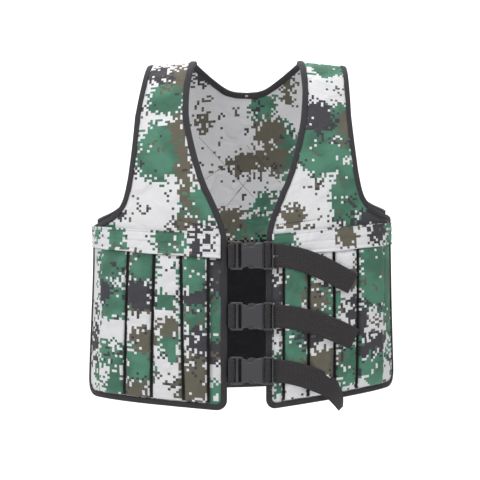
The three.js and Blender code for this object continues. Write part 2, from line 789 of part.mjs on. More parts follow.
for (const { name, sign } of SIDES) add(`pocket_flap_${name}`, flap(name, sign), flapCloth);

// Buckles. Each lies flat on the front in its own frame: x to the wearer's left,
// y up, z away from the body, with z = 0 on its back.
const BUCKLE_LIFT = PANEL_THICK + BINDING_GAP + BINDING_THICK + 4 * CLEAR;
const frameBack = (BUCKLE_THICK - FRAME_THICK) / 2;
const buckleEnd = BUCKLE_LENGTH / 2;
const slotHalf = WEBBING_WIDTH / 2 + 1;

function rectangle(x0, x1, y0, y1, radius = 0, segments = 2) {
  const shape = new THREE.Shape();
  if (radius === 0) {
    shape.moveTo(x0, y0);
    for (const [x, y] of [[x1, y0], [x1, y1], [x0, y1]]) shape.lineTo(x, y);
    return shape;
  }
  const corners = [[x1 - radius, y0 + radius, -0.5], [x1 - radius, y1 - radius, 0],
    [x0 + radius, y1 - radius, 0.5], [x0 + radius, y0 + radius, 1]];
  const points = [];
  for (const [x, y, turn] of corners) {
    for (let i = 0; i <= segments; i += 1) {
      const angle = Math.PI * (turn + (0.5 * i) / segments);
      points.push(new THREE.Vector2(x + radius * Math.cos(angle), y + radius * Math.sin(angle)));
    }
  }
  return new THREE.Shape(points);
}

function plate(shape, back, thick) {
  const geometry = new THREE.ExtrudeGeometry(shape, { depth: thick, bevelEnabled: false });
  geometry.translate(0, 0, back);
  return toManifold(geometry);
}

// The socket: a frame with an anchor bar and a ribbed bar, and a hollow shell that
// takes the plug from the other side, with a window on each edge for its hooks.
const anchorBarEnd = -buckleEnd + 1 + BAR;
const ribbedBarStart = anchorBarEnd + SLOT + 0.6;
const windowHalf = HOOK_WINDOW / 2;
const shellHalf = BUCKLE_WIDTH / 2 - 0.5;

function socket() {
  const frame = rectangle(-buckleEnd, SOCKET_START + 2, -BUCKLE_WIDTH / 2, BUCKLE_WIDTH / 2, 4);
  const shell = rectangle(SOCKET_START, SOCKET_END, -shellHalf, shellHalf, 2.5);
  const solid = plate(frame, frameBack, FRAME_THICK).add(plate(shell, 0, BUCKLE_THICK));
  const cavity = rectangle(SOCKET_START + 5, SOCKET_END + 1, -shellHalf + SHELL_WALL, shellHalf - SHELL_WALL);
  const cuts = [
    plate(rectangle(anchorBarEnd, ribbedBarStart, -slotHalf, slotHalf), -1, BUCKLE_THICK + 2),
    plate(rectangle(ribbedBarStart + BAR, SOCKET_START - 0.4, -slotHalf, slotHalf), -1, BUCKLE_THICK + 2),
    plate(cavity, SHELL_WALL, BUCKLE_THICK - 2 * SHELL_WALL),
  ];
  for (const sign of [-1, 1]) {
    const edge = [sign * (shellHalf - HOOK_WINDOW_DEPTH), sign * (shellHalf + 1)].sort((a, b) => a - b);
    cuts.push(plate(rectangle(-windowHalf, windowHalf, ...edge), -1, BUCKLE_THICK + 2));
  }
  return toGeometry(cuts.reduce((whole, cut) => whole.subtract(cut), solid));
}

// The plug: a frame with a centre bar, two spring arms with hooks and a centre guide.
const plugStart = SOCKET_END + CLEAR;
const plugSlot = plugStart + 2;
const centreBarStart = plugSlot + SLOT;
const centreBarEnd = centreBarStart + BAR;
const outerBarStart = buckleEnd - OUTER_BAR;
const armHalf = shellHalf - SHELL_WALL - CLEAR;

function plug() {
  const frame = rectangle(plugStart, buckleEnd, -BUCKLE_WIDTH / 2, BUCKLE_WIDTH / 2, 3);
  const guide = rectangle(plugStart - GUIDE_LENGTH, plugStart + MERGE, -GUIDE_WIDTH / 2, GUIDE_WIDTH / 2);
  const slots = [[plugSlot, centreBarStart], [centreBarEnd, outerBarStart]];
  let solid = plate(frame, frameBack, FRAME_THICK).add(plate(guide, frameBack, FRAME_THICK));
  for (const [x0, x1] of slots) {
    solid = solid.subtract(plate(rectangle(x0, x1, -slotHalf, slotHalf), -1, BUCKLE_THICK + 2));
  }
  for (const sign of [-1, 1]) {
    const arm = new THREE.Shape([
      [plugStart + MERGE, armHalf],
      [windowHalf - CLEAR, armHalf],
      [windowHalf - CLEAR - 1, armHalf + HOOK_WIDTH],
      [-2, armHalf + HOOK_WIDTH],
      [-windowHalf + CLEAR, armHalf - 1],
      [-windowHalf + CLEAR, armHalf - ARM_WIDTH],
      [plugStart + MERGE, armHalf - ARM_WIDTH],
    ].map(([x, y]) => new THREE.Vector2(x, sign * y)));
    solid = solid.add(plate(arm, frameBack, FRAME_THICK));
  }
  return toGeometry(solid);
}

// Webbing of one width, as wide as the buckle's slots take, along a path of its
// middle line in the buckle's x and z.
function outlineOf(path, thick) {
  const points = path.map(([x, z]) => new THREE.Vector2(x, z));
  const sideOf = (sign) => points.map((point, i) => {
    const before = points[Math.max(0, i - 1)];
    const after = points[Math.min(points.length - 1, i + 1)];
    const one = point.clone().sub(before).normalize();
    const two = after.clone().sub(point).normalize();
    const along = one.clone().add(two).normalize();
    const stretch = 1 / Math.max(0.7, i > 0 && i < points.length - 1 ? along.dot(one) : 1);
    return new THREE.Vector2(-along.y, along.x).multiplyScalar(sign * (thick / 2) * stretch).add(point);
  });
  return [...sideOf(1), ...sideOf(-1).reverse()];
}

const halfThick = WEBBING_THICK / 2;
const tapeOut = BINDING_GAP + BINDING_THICK + CLEAR + halfThick;
const underZ = frameBack - CLEAR - halfThick - SLACK;
const overZ = frameBack + FRAME_THICK + CLEAR + halfThick + SLACK;
const turnOut = halfThick + CLEAR + 0.6;

// How low, in a buckle's frame, webbing lies that is sewn inside a front edge: under
// its binding at the edge, and under the panel at the webbing's end.
function insideOf(frame, sign) {
  const spread = sign < 0 ? SPREAD_RIGHT : SPREAD_LEFT;
  const reach = FRONT_EDGE + BINDING_WIDTH + ANCHOR_LENGTH;
  const lows = [];
  for (const [girth, height] of [[FRONT_EDGE, -BINDING_GAP - BINDING_THICK], [reach, -SLACK]]) {
    for (const rise of [-WEBBING_WIDTH / 2, 0, WEBBING_WIDTH / 2]) {
      const at = frontAt(sign * girth * spread, frame.z + rise);
      lows.push(lift(at.girth, at.run, height).sub(frame.origin).dot(frame.out));
    }
  }
  return Math.min(...lows) - CLEAR - SLACK - halfThick;
}

// Anchor: sewn inside the front edge, out round it, and round the socket's anchor bar.
function anchorStrap(edgeX, insideZ) {
  const near = -buckleEnd - turnOut;
  const slotX = anchorBarEnd + SLOT / 2 + 0.3;
  const end = edgeX - BINDING_WIDTH - ANCHOR_LENGTH;
  const lower = insideZ - WEBBING_THICK - CLEAR;
  const path = [[end, insideZ], [edgeX + tapeOut - 0.6, insideZ], [edgeX + tapeOut + 0.7, insideZ + 1.3],
    [near, insideZ + 4], [near, overZ - 1.6], [near + 1.4, overZ], [slotX - 1.4, overZ],
    [slotX, overZ - 1.8], [slotX, underZ + 1.6], [slotX - 1.4, underZ], [near + 3, underZ],
    [near + 1.9, underZ - 1.4], [near + 1.9, insideZ + 0.6], [near + 0.6, lower], [end, lower]];
  const geometry = new THREE.ExtrudeGeometry(new THREE.Shape(outlineOf(path, WEBBING_THICK)), {
    depth: WEBBING_WIDTH,
    bevelEnabled: false,
  });
  geometry.rotateX(Math.PI / 2);
  geometry.translate(0, WEBBING_WIDTH / 2, 0);
  return geometry;
}

// Adjuster: sewn inside the other front edge, up through the plug, over its centre
// bar, down under the outer bar, and on as a free end that hangs over the pockets.
const TAIL_LIFT_START = BUCKLE_LIFT + underZ;
const TAIL_LIFTS = [0.34, 0.66, 0.76, 0.8, 0.84, 0.9, 0.96, 1];   // of the way to TAIL_LIFT_END
const TAIL_LIFT_END = pocketBase + POCKET_THICK + TAIL_STAND;

function adjusterStrap(frame, edgeX, insideZ, tail) {
  const { origin, across, upward, out, z } = frame;
  const half = WEBBING_WIDTH / 2;
  const flat = ([x, height], along) => {
    const middle = origin.clone().addScaledVector(across, x).addScaledVector(out, height);
    return {
      left: middle.clone().addScaledVector(upward, half),
      right: middle.clone().addScaledVector(upward, -half),
      out: across.clone().multiplyScalar(-along[1]).addScaledVector(out, along[0]).normalize(),
    };
  };
  const slotOne = plugSlot + 1.75;
  const slotTwo = centreBarEnd + 1.6;
  const path = [
    [edgeX + BINDING_WIDTH + ANCHOR_LENGTH, insideZ],
    [edgeX - tapeOut + 1, insideZ],
    [slotOne + 0.6, insideZ + 0.8],
    [slotOne, insideZ + 2.5],
    [slotOne, overZ - 1.6],
    [slotOne + 1.4, overZ],
    [slotTwo - 1.2, overZ],
    [slotTwo, overZ - 1.8],
    [slotTwo + 0.4, underZ + 1.6],
    [outerBarStart + 0.2, underZ],
    [buckleEnd + 0.6, underZ],
  ];
  const stations = path.map((point, i) => {
    const before = path[Math.max(0, i - 1)];
    const after = path[Math.min(path.length - 1, i + 1)];
    return flat(point, [after[0] - before[0], after[1] - before[1]]);
  });
  let x = BUCKLE_SHIFT + buckleEnd + 0.6;
  let height = z;
  const step = TAIL_LENGTH / tail.headings.length;
  tail.headings.forEach((degrees, i) => {
    const heading = THREE.MathUtils.degToRad(degrees);
    x += step * Math.cos(heading);
    height -= step * Math.sin(heading);
    const at = frontAt(x, height);
    const raised = up(TAIL_LIFT_START, TAIL_LIFT_END, TAIL_LIFTS[i]);
    const middle = lift(at.girth, at.run, raised);
    const face = middle.clone().sub(place(at.girth, at.run)).normalize();
    const along = new THREE.Vector3(Math.cos(heading), 0, -Math.sin(heading));
    const widthWay = new THREE.Vector3().crossVectors(face, along).normalize();
    const turn = THREE.MathUtils.degToRad(tail.turn) * ((i + 1) / tail.headings.length) ** 2;
    widthWay.applyAxisAngle(along, -turn);
    face.applyAxisAngle(along, -turn);
    stations.push({
      left: middle.clone().addScaledVector(widthWay, half),
      right: middle.clone().addScaledVector(widthWay, -half),
      out: face,
    });
  });
  return band(stations, WEBBING_THICK);
}

BUCKLE_DROPS.forEach((drop, i) => {
  const number = i + 1;
  const at = frontAt(BUCKLE_SHIFT, -drop);
  const foot = place(at.girth, at.run);
  const out = lift(at.girth, at.run, 1).sub(foot).setX(0).normalize();
  const across = new THREE.Vector3(1, 0, 0);
  const upward = new THREE.Vector3().crossVectors(out, across).normalize();
  const origin = foot.clone().addScaledVector(out, BUCKLE_LIFT);
  const group = new THREE.Group();
  group.position.copy(origin);
  group.quaternion.setFromRotationMatrix(new THREE.Matrix4().makeBasis(across, upward, out));
  vest.add(group);
  add(`buckle_socket_${number}`, socket(), plastic, group);
  add(`buckle_plug_${number}`, plug(), plastic, group);
  const rightEdge = -FRONT_EDGE * SPREAD_RIGHT - BUCKLE_SHIFT;
  const leftEdge = FRONT_EDGE * SPREAD_LEFT - BUCKLE_SHIFT;
  const frame = { origin, across, upward, out, z: -drop };
  add(`anchor_strap_${number}`, anchorStrap(rightEdge, insideOf(frame, -1)), webbing, group);
  const adjuster = adjusterStrap(frame, leftEdge, insideOf(frame, 1), TAILS[i]);
  add(`adjuster_strap_${number}`, adjuster, webbing);
});

// Side straps: sewn inside the side edges of the front and the back, across the gap.
function sideStrap(sign, drop) {
  const tucked = -tapeOut;
  const half = SIDE_STRAP_WIDTH / 2;
  const stationAt = (profile, girth, height) => {
    const edge = (offset) => {
      const run = runAtDrop(profile, drop + offset);
      return lift(sign * girth(run), run, height);
    };
    const left = edge(-half);
    const right = edge(half);
    const run = runAtDrop(profile, drop);
    const out = lift(sign * girth(run), run, 1).sub(lift(sign * girth(run), run, 0));
    return { left, right, out };
  };
  const whole = (run) => quarterAt(run).lengths.at(-1);
  const stations = [];
  for (const [profile, reach] of [[front, FRONT_REACH], [back, BACK_REACH]]) {
    const stretch = [
      stationAt(profile, () => reach - SIDE_STRAP_TUCK, tucked),
      stationAt(profile, () => reach + 1, tucked),
      stationAt(profile, (run) => up(reach, whole(run), 0.35), 0),
      stationAt(profile, (run) => up(reach, whole(run), 0.7), SIDE_STRAP_BULGE * 0.8),
    ];
    stations.push(...(profile === front ? stretch : stretch.reverse()));
  }
  const middle = [stations[3], stations[4]];
  const between = {
    left: middle[0].left.clone().add(middle[1].left).multiplyScalar(0.5),
    right: middle[0].right.clone().add(middle[1].right).multiplyScalar(0.5),
    out: new THREE.Vector3(sign, 0, 0),
  };
  const bulge = SIDE_STRAP_BULGE * 0.35;
  between.left.x += sign * bulge;
  between.right.x += sign * bulge;
  stations.splice(4, 0, between);
  return band(stations, WEBBING_THICK);
}

for (const { name, sign } of SIDES) {
  SIDE_STRAP_DROPS.forEach((drop, i) => add(`side_strap_${name}_${i + 1}`, sideStrap(sign, drop), webbing));
}

export default vest;
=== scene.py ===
# %% [markdown]
# # A weighted training vest
# This lesson dresses a plain model of a sleeveless vest. The model gives the place and
# the size of every piece. Here each piece gets its real surface: printed cloth, folded
# tape, webbing, stitches and moulded buckles.

# %% Load the frame
import math
import bmesh
import bpy
import numpy as np
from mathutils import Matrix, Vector


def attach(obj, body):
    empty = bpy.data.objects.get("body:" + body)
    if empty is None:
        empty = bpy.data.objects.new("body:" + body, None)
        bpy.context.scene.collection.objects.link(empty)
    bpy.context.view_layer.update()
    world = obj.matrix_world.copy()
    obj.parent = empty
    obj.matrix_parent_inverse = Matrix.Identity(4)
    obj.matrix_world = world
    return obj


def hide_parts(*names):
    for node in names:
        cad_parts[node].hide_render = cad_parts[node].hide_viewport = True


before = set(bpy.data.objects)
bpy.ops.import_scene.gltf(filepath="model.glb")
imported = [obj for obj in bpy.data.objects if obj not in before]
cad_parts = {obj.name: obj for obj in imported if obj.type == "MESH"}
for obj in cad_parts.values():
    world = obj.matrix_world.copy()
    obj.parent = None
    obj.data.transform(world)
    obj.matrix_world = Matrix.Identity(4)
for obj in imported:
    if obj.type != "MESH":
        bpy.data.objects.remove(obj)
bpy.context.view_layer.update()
MM = 0.001
print("nodes in the frame:", len(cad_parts))

# %% [markdown]
# ## Camera, floor and light
# The picture was taken from straight ahead, at the height of the buckles, with a long
# lens. A long lens keeps the sides of a garment parallel. The camera stands 2.3 m away.

# %% Camera
FRAME_PIXELS = 480
FOCAL_PIXELS = 1321
SENSOR_MM = 36.0
camera_data = bpy.data.cameras.new("camera")
camera_data.sensor_width = SENSOR_MM
camera_data.lens = FOCAL_PIXELS / FRAME_PIXELS * SENSOR_MM
camera = bpy.data.objects.new("camera", camera_data)
camera.location = (-0.012, -2.3, -0.302)
camera.rotation_euler = (math.radians(90), 0, 0)
bpy.context.scene.collection.objects.link(camera)
bpy.context.scene.camera = camera
print("lens in mm:", round(camera_data.lens, 1))

# %% [markdown]
# Colours are written as the hex values that a picture editor shows. A renderer works in
# linear light, so one function turns them over.

# %% Colours
def linear(hex_colour):
    """An sRGB hex colour as linear red, green, blue and alpha."""
    parts = [int(hex_colour[i:i + 2], 16) / 255 for i in (1, 3, 5)]
    turned = [c / 12.92 if c <= 0.04045 else ((c + 0.055) / 1.055) ** 2.4 for c in parts]
    return (*turned, 1.0)


# %% [markdown]
# Every material is a small network of nodes. One helper adds a node with its settings
# and links, which keeps the recipes short enough to read.

# %% Node helper
def add_node(tree, kind, inputs=None, **settings):
    """Adds a shader node. An input is a value, or the output of another node."""
    made = tree.nodes.new("ShaderNode" + kind)
    for name, value in settings.items():
        setattr(made, name, value)
    for socket, value in (inputs or {}).items():
        if isinstance(value, bpy.types.NodeSocket):
            tree.links.new(value, made.inputs[socket])
        else:
            made.inputs[socket].default_value = value
    return made


def new_material(name):
    """A material with an empty network: its tree and its surface shader."""
    made = bpy.data.materials.new(name)
    made.use_nodes = True
    made.node_tree.nodes.clear()
    shader = add_node(made.node_tree, "BsdfPrincipled")
    out = add_node(made.node_tree, "OutputMaterial")
    made.node_tree.links.new(shader.outputs["BSDF"], out.inputs["Surface"])
    return made, made.node_tree, shader


# %% [markdown]
# The floor and the wall behind are one white sweep, as in a photo studio. With no corner
# between them there is no horizon line behind the vest.

# %% Studio sweep
FLOOR = -1.05
SWEEP_RADIUS = 1.2
SWEEP_BACK = 3.2
SWEEP_REACH = 24.0


def studio_sweep():
    turn = np.linspace(0, math.pi / 2, 25)
    bend = [(SWEEP_BACK - SWEEP_RADIUS + SWEEP_RADIUS * math.sin(t),
             FLOOR + SWEEP_RADIUS * (1 - math.cos(t))) for t in turn]
    line = [(-SWEEP_REACH, FLOOR), *bend, (SWEEP_BACK, SWEEP_REACH / 2)]
    verts = [(side * SWEEP_REACH, y, z) for y, z in line for side in (-1, 1)]
    faces = [(2 * i, 2 * i + 1, 2 * i + 3, 2 * i + 2) for i in range(len(line) - 1)]
    mesh = bpy.data.meshes.new("studio_sweep")
    mesh.from_pydata(verts, [], faces)
    mesh.shade_smooth()
    made = bpy.data.objects.new("studio_sweep", mesh)
    bpy.context.scene.collection.objects.link(made)
    paper, tree, shader = new_material("matt white background paper")
    grain = add_node(tree, "TexNoise", {"Scale": 900.0, "Detail": 3.0})
    bump = add_node(tree, "Bump", {"Strength": 0.05, "Distance": 0.0005, "Height": grain.outputs["Fac"]})
    tree.links.new(bump.outputs["Normal"], shader.inputs["Normal"])
    shader.inputs["Base Color"].default_value = linear("#F6F6F6")
    shader.inputs["Roughness"].default_value = 0.95
    mesh.materials.append(paper)


studio_sweep()
print("floor at", FLOOR, "m")

# %% [markdown]
# Three soft boxes and an even room light the vest. The left one is stronger than the right
# one, so folds and pleats get a soft shade on one side. The fourth box whitens the paper.

# %% Lights
LIGHTS = [
    # name, place in m, aim in m, size in m, power in W
    ("soft_box_left", (-1.9, -2.0, 1.3), (0, 0, -0.3), 1.4, 25),
    ("soft_box_right", (1.9, -1.9, 0.9), (0, 0, -0.3), 1.8, 9),
    ("soft_box_top", (-0.2, -0.9, 1.9), (0, 0, -0.3), 0.9, 22),
    ("soft_box_wall", (0.0, 1.2, 2.3), (0, 3.2, -0.3), 2.2, 105),
]
for name, place_m, aim_m, size_m, watts in LIGHTS:
    data = bpy.data.lights.new(name, "AREA")
    data.size = size_m
    data.energy = watts
    light = bpy.data.objects.new(name, data)
    light.location = place_m
    light.rotation_euler = (Vector(aim_m) - light.location).to_track_quat("-Z", "Y").to_euler()
    bpy.context.scene.collection.objects.link(light)
world = bpy.data.worlds.new("even room light")
world.use_nodes = True
world.node_tree.nodes["Background"].inputs["Color"].default_value = (1, 1, 1, 1)
world.node_tree.nodes["Background"].inputs["Strength"].default_value = 0.38
bpy.context.scene.world = world
bpy.context.scene.view_settings.view_transform = "Standard"
print("lights:", len(LIGHTS))

# %% [markdown]
# ## The worn form
# A vest is cut flat and worn round, so every point of the cloth has two addresses: its
# place in the flat cut, and its place in space. The girth is the way round the body from
# the centre line. The run is the way over the shoulder, minus in front and plus behind.
# All sizes are in millimetres and are the same as the frame's.

# %% Sizes of the worn form
HEM_DROP = 556.0
FRONT_DIP = 30.0
BACK_DIP = 12.0
HALF_WIDTH = 250.0
FRONT_DEPTH = 122.0
BACK_DEPTH = 110.0
ROUNDNESS = 2.7
SHOULDER_FALL = 9.0
FALL_END = 200.0
SIDE_LEAN = 8.0
LEAN_BAND = (60.0, 220.0)
DIP_START = 80.0
SPREAD_FULL = 90.0
SPREAD = {1: 0.975, -1: 1.05}
NECK_HALF = 88.0
STRAP_WIDTH = 82.0
# drop of HEM_DROP, depth of FRONT_DEPTH
FRONT_PROFILE = [(0.029, 0.279), (0.094, 0.475), (0.162, 0.607), (0.270, 0.795), (0.396, 0.926),
                 (0.540, 0.992), (0.720, 1.000), (0.900, 0.975), (1.080, 0.918)]
# drop of HEM_DROP, depth of BACK_DEPTH
BACK_PROFILE = [(0.025, 0.309), (0.083, 0.545), (0.171, 0.727), (0.288, 0.882), (0.432, 0.982),
                (0.594, 1.000), (0.791, 0.955), (1.061, 0.891)]
# drop of HEM_DROP, half width of HALF_WIDTH
WIDTHS = [(0, 0.824), (0.216, 0.904), (0.414, 0.984), (0.594, 1.000), (1.080, 1.032)]


def through(points, steps=24):
    """Points along a smooth curve through the given points."""
    points = np.asarray(points, float)
    last = len(points) - 1
    t = np.linspace(0, 1, steps, endpoint=False)[:, None]
    spans = []
    for i in range(last):
        a, b = points[i], points[i + 1]
        leave = (b - points[max(i - 1, 0)]) / 2
        arrive = (points[min(i + 2, last)] - a) / 2
        cubic = (2 * a - 2 * b + leave + arrive) * t ** 3
        spans.append(cubic + (3 * b - 3 * a - 2 * leave - arrive) * t ** 2 + leave * t + a)
    return np.vstack([*spans, points[-1:]])


def lengths_of(points):
    steps = np.linalg.norm(np.diff(points, axis=0), axis=1)
    return np.concatenate([[0], np.cumsum(steps)])


def profile(rows, depth_mm):
    """Length over the shoulder, depth and drop, from the shoulder top down."""
    points = np.array([(0, 0)] + [(depth * depth_mm, drop * HEM_DROP) for drop, depth in rows])
    mirrored = points[1] * (-1, 1)
    curve = through([mirrored, *points], 44)[44:]
    return lengths_of(curve), curve[:, 0], curve[:, 1]


FRONT, BACK = profile(FRONT_PROFILE, FRONT_DEPTH), profile(BACK_PROFILE, BACK_DEPTH)
FRONT_HEM = float(np.interp(HEM_DROP, FRONT[2], FRONT[0]))
BACK_HEM = float(np.interp(HEM_DROP, BACK[2], BACK[0]))
width_curve = through([(drop * HEM_DROP, width * HALF_WIDTH) for drop, width in WIDTHS])
print("cloth from shoulder to hem in mm:", round(FRONT_HEM), "in front,", round(BACK_HEM), "behind")

# %% [markdown]
# The two addresses are tied together once, on a grid with a step of 2 mm. A lookup in
# that grid is quick, so whole panels can be placed at a time.

# %% Flat cut to worn form
GRID_STEP = 2.0
GIRTHS = np.arange(-360, 360 + GRID_STEP, GRID_STEP)
RUNS = np.arange(-680, 680 + GRID_STEP, GRID_STEP)


def ramp(value, low, high):
    return np.clip((value - low) / (high - low), 0, 1)


def quarter(run):
    """Half of the body's outline at one run: length round it, X and Y, with drop and width."""
    length, depths, drops = FRONT if run < 0 else BACK
    depth = np.interp(abs(run), length, depths)
    drop = np.interp(abs(run), length, drops)
    width = np.interp(drop, width_curve[:, 0], width_curve[:, 1])
    turn = np.linspace(0, math.pi / 2, 73)
    sine, cosine = np.sin(turn), np.clip(np.cos(turn), 0, 1)
    radius = (sine ** ROUNDNESS + cosine ** ROUNDNESS) ** (-1 / ROUNDNESS)
    outline = np.stack([width * radius * sine, depth * radius * cosine], axis=1)
    return lengths_of(outline), outline, drop, width


def worn_row(run):
    round_lengths, outline, drop, width = quarter(run)
    side = np.where(GIRTHS < 0, -1, 1)
    x = np.interp(np.abs(GIRTHS), round_lengths, outline[:, 0])
    y = np.interp(np.abs(GIRTHS), round_lengths, outline[:, 1])
    fall = SHOULDER_FALL / STRAP_WIDTH * (x - NECK_HALF - STRAP_WIDTH / 2) * (1 - ramp(drop, 0, FALL_END))
    lean = side * SIDE_LEAN * x / HALF_WIDTH * ramp(drop, *LEAN_BAND)
    dip = FRONT_DIP * (1 - x / width) if run < 0 else BACK_DIP * (1 - (x / width) ** 2)
    hang = np.clip((drop - DIP_START) / (HEM_DROP - DIP_START), 0, 2)
    spread = 1 + (np.where(side < 0, SPREAD[-1], SPREAD[1]) - 1) * ramp(drop, 0, SPREAD_FULL)
    z = -drop - fall + lean - hang * dip
    return np.stack([side * x * spread, -y if run < 0 else y, z], axis=1)


SURFACE = np.stack([worn_row(run) for run in RUNS])
across_step = np.gradient(SURFACE, axis=1)
along_step = np.gradient(SURFACE, axis=0)
OUTWARD = np.cross(across_step, along_step)
OUTWARD /= np.maximum(np.linalg.norm(OUTWARD, axis=2, keepdims=True), 1e-9)


def sample(field, girth, run):
    """Reads the grid between its points."""
    across = (np.asarray(girth, float) - GIRTHS[0]) / GRID_STEP
    along = (np.asarray(run, float) - RUNS[0]) / GRID_STEP
    i = np.clip(np.floor(along).astype(int), 0, len(RUNS) - 2)
    j = np.clip(np.floor(across).astype(int), 0, len(GIRTHS) - 2)
    s, t = (along - i)[..., None], (across - j)[..., None]
    near = field[i, j] * (1 - t) + field[i, j + 1] * t
    far = field[i + 1, j] * (1 - t) + field[i + 1, j + 1] * t
    return near * (1 - s) + far * s


print("grid points:", SURFACE.shape[0] * SURFACE.shape[1])

# %% [markdown]
# Cloth never lies dead flat. A short table of soft folds lifts or sinks all the layers
# together, so the pockets and the tape follow the panel under them.

# %% Folds
FOLDS = [
    # from girth and run, to girth and run, half width, height
    (60, -150, 150, -250, 16, -1.6),
    (75, -120, 165, -205, 13, 1.4),
    (-62, -160, -160, -262, 17, -1.5),
    (-80, -105, -168, -190, 14, 1.5),
    (150, -292, 270, -318, 12, 1.2),
    (-140, -290, -275, -322, 14, 1.3),
    (100, 60, 128, 190, 18, 1.5),
    (-104, 70, -126, 200, 18, 1.5),
    (60, 250, 230, 300, 24, 2.0),
    (-50, 235, -235, 320, 26, -2.0),
    (-210, 330, 120, 400, 30, 1.8),
    (30, 420, 235, 500, 28, -1.8),
    (-250, 470, -60, 560, 26, 2.0),
    (100, -20, 165, -32, 9, 0.8),
    (-100, -24, -162, -18, 9, 0.8),
]
FLAT_FROM = 290.0      # the buckles keep the front edges flat from this run down
FLAT_FADE = 40.0
FLAT_GIRTHS = (40, 75)


def folds(girth, run):
    """How far the cloth stands off the worn form."""
    girth, run = np.asarray(girth, float), np.asarray(run, float)
    total = 0.5 * np.sin(girth / 37 + run / 61) + 0.4 * np.sin(girth / 23 - run / 43 + 1.3)
    for g0, r0, g1, r1, half_width, height in FOLDS:
        way = np.array([g1 - g0, r1 - r0], float)
        t = ((girth - g0) * way[0] + (run - r0) * way[1]) / (way @ way)
        off = np.hypot(girth - g0 - t * way[0], run - r0 - t * way[1])
        ends = ramp(t, -0.15, 0.3) * (1 - ramp(t, 0.7, 1.15))
        total = total + height * ends * np.exp(-(off / half_width) ** 2)
    by_buckles = (1 - ramp(np.abs(girth), *FLAT_GIRTHS)) * (run < 0)
    by_buckles = by_buckles * ramp(-run, FLAT_FROM - FLAT_FADE, FLAT_FROM)
    return total * (1 - by_buckles)


def lift(girth, run, height):
    """The point in space at a height over the inside of the cloth, in millimetres."""
    raised = np.asarray(height, float) + folds(girth, run)
    return sample(SURFACE, girth, run) + sample(OUTWARD, girth, run) * raised[..., None]


print("folds:", len(FOLDS))

# %% [markdown]
# ## Building meshes
# Cloth pieces are closed skins: an outer grid of points, an inner one, and a narrow wall
# round the edge. Each point also keeps its flat address in millimetres, in an attribute
# called cloth, so that the print and the weave lie straight on the thread.

# %% Mesh helpers
def quads(rows, columns, start=0):
    """Faces of a grid of points that are numbered row by row."""
    first = start + np.arange(rows - 1)[:, None] * columns + np.arange(columns - 1)[None, :]
    first = first.ravel()
    return np.stack([first, first + 1, first + columns + 1, first + columns], axis=1)


def make_piece(name, points_mm, faces, material, cloth=None):
    """A finished piece that rides on the vest."""
    mesh = bpy.data.meshes.new(name)
    mesh.from_pydata((np.asarray(points_mm) * MM).tolist(), [], [list(map(int, f)) for f in faces])
    if cloth is not None:
        layer = mesh.attributes.new("cloth", "FLOAT_VECTOR", "POINT")
        layer.data.foreach_set("vector", np.asarray(cloth, np.float32).ravel())
    outward = bmesh.new()
    outward.from_mesh(mesh)
    bmesh.ops.recalc_face_normals(outward, faces=outward.faces)
    outward.to_mesh(mesh)
    outward.free()
    mesh.shade_smooth()
    mesh.materials.append(material)
    made = bpy.data.objects.new(name, mesh)
    bpy.context.scene.collection.objects.link(made)
    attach(made, "root")
    return made


def solid(outer, inner, faces):
    """Closes two skins with the same faces by a wall round every open edge."""
    count = len(outer)
    edges = np.concatenate([faces[:, [0, 1]], faces[:, [1, 2]], faces[:, [2, 3]], faces[:, [3, 0]]])
    edges = edges[edges[:, 0] != edges[:, 1]]
    known = {(int(a), int(b)) for a, b in edges}
    open_edges = [(a, b) for a, b in known if (b, a) not in known]
    walls = [(b, a, a + count, b + count) for a, b in sorted(open_edges)]
    skin = [tuple(dict.fromkeys(map(int, face))) for face in faces]
    under = [tuple(i + count for i in reversed(face)) for face in skin]
    return np.vstack([outer, inner]), [*skin, *under, *walls]


def flat_grid(girth, run):
    """Flat addresses of a grid of points on the cut."""
    return np.stack([girth, run, np.zeros_like(girth)], axis=-1).reshape(-1, 3)


def flat_band(along, across):
    """Flat addresses of a band, from the ways along and across it."""
    return np.stack(np.broadcast_arrays(along[:, None], across[None, :], 0.0), axis=2).reshape(-1, 3)


def cloth_piece(name, skins, shape, material, flat):
    """A closed piece from two skins that are grids of the same shape."""
    points, faces = solid(*skins, quads(*shape))
    return make_piece(name, points, faces, material, np.vstack([flat, flat]))


def resample(points, step):
    """The same line with points at equal steps."""
    along = lengths_of(points)
    count = max(2, int(round(along[-1] / step)) + 1)
    wanted = np.linspace(0, along[-1], count)
    return np.stack([np.interp(wanted, along, column) for column in np.asarray(points).T], axis=1)


print("mesh helpers ready")

# %% [markdown]
# ## Printed cloth
# The cloth is plain-woven polyester with a blocky camouflage print. Such a print is a map
# of blotches, broken into small squares, with loose squares along every border. The map
# here is a short table of ovals. The address is first snapped to squares of 4 mm, then
# each oval gives its distance, and noise on the squares breaks its rim.
#
# The weave is a bump from two crossed sines, and a wide, low noise crumples the cloth.

# %% Camouflage colours
PRINT_CELL = 4.1
PRINT = {
    "ground": linear("#E8E8EA"),
    "green": linear("#588B75"),
    "olive": linear("#6B675A"),
    "dark": linear("#48474C"),
    # black is painted shade, not an ink: it darkens the lower inside of the back, where the front panels
    # shade it
    "black": linear("#17161A"),
}
DEEP_GREEN = linear("#4A7562")
BORDER_DRIFT = 26.0    # how far noise moves a blotch's border, in mm
BORDER_CELLS = 17.0    # how far the loose squares scatter, in mm
BLOTCH_GROW = 1.14     # a broken border eats into a blotch, so each oval is made a little larger
PATCH_WEIGHT = 2.2     # how strongly the single squares keep to patches
LOOSE_LIMIT = 2.24     # higher leaves fewer single squares
THREAD_PITCH = 1.5     # in mm: real threads lie 0.4 mm apart and would not show
THREAD_HEIGHT = 0.2    # in mm
CRUMPLE_HEIGHT = 12.0  # in mm, for creases some 35 mm apart


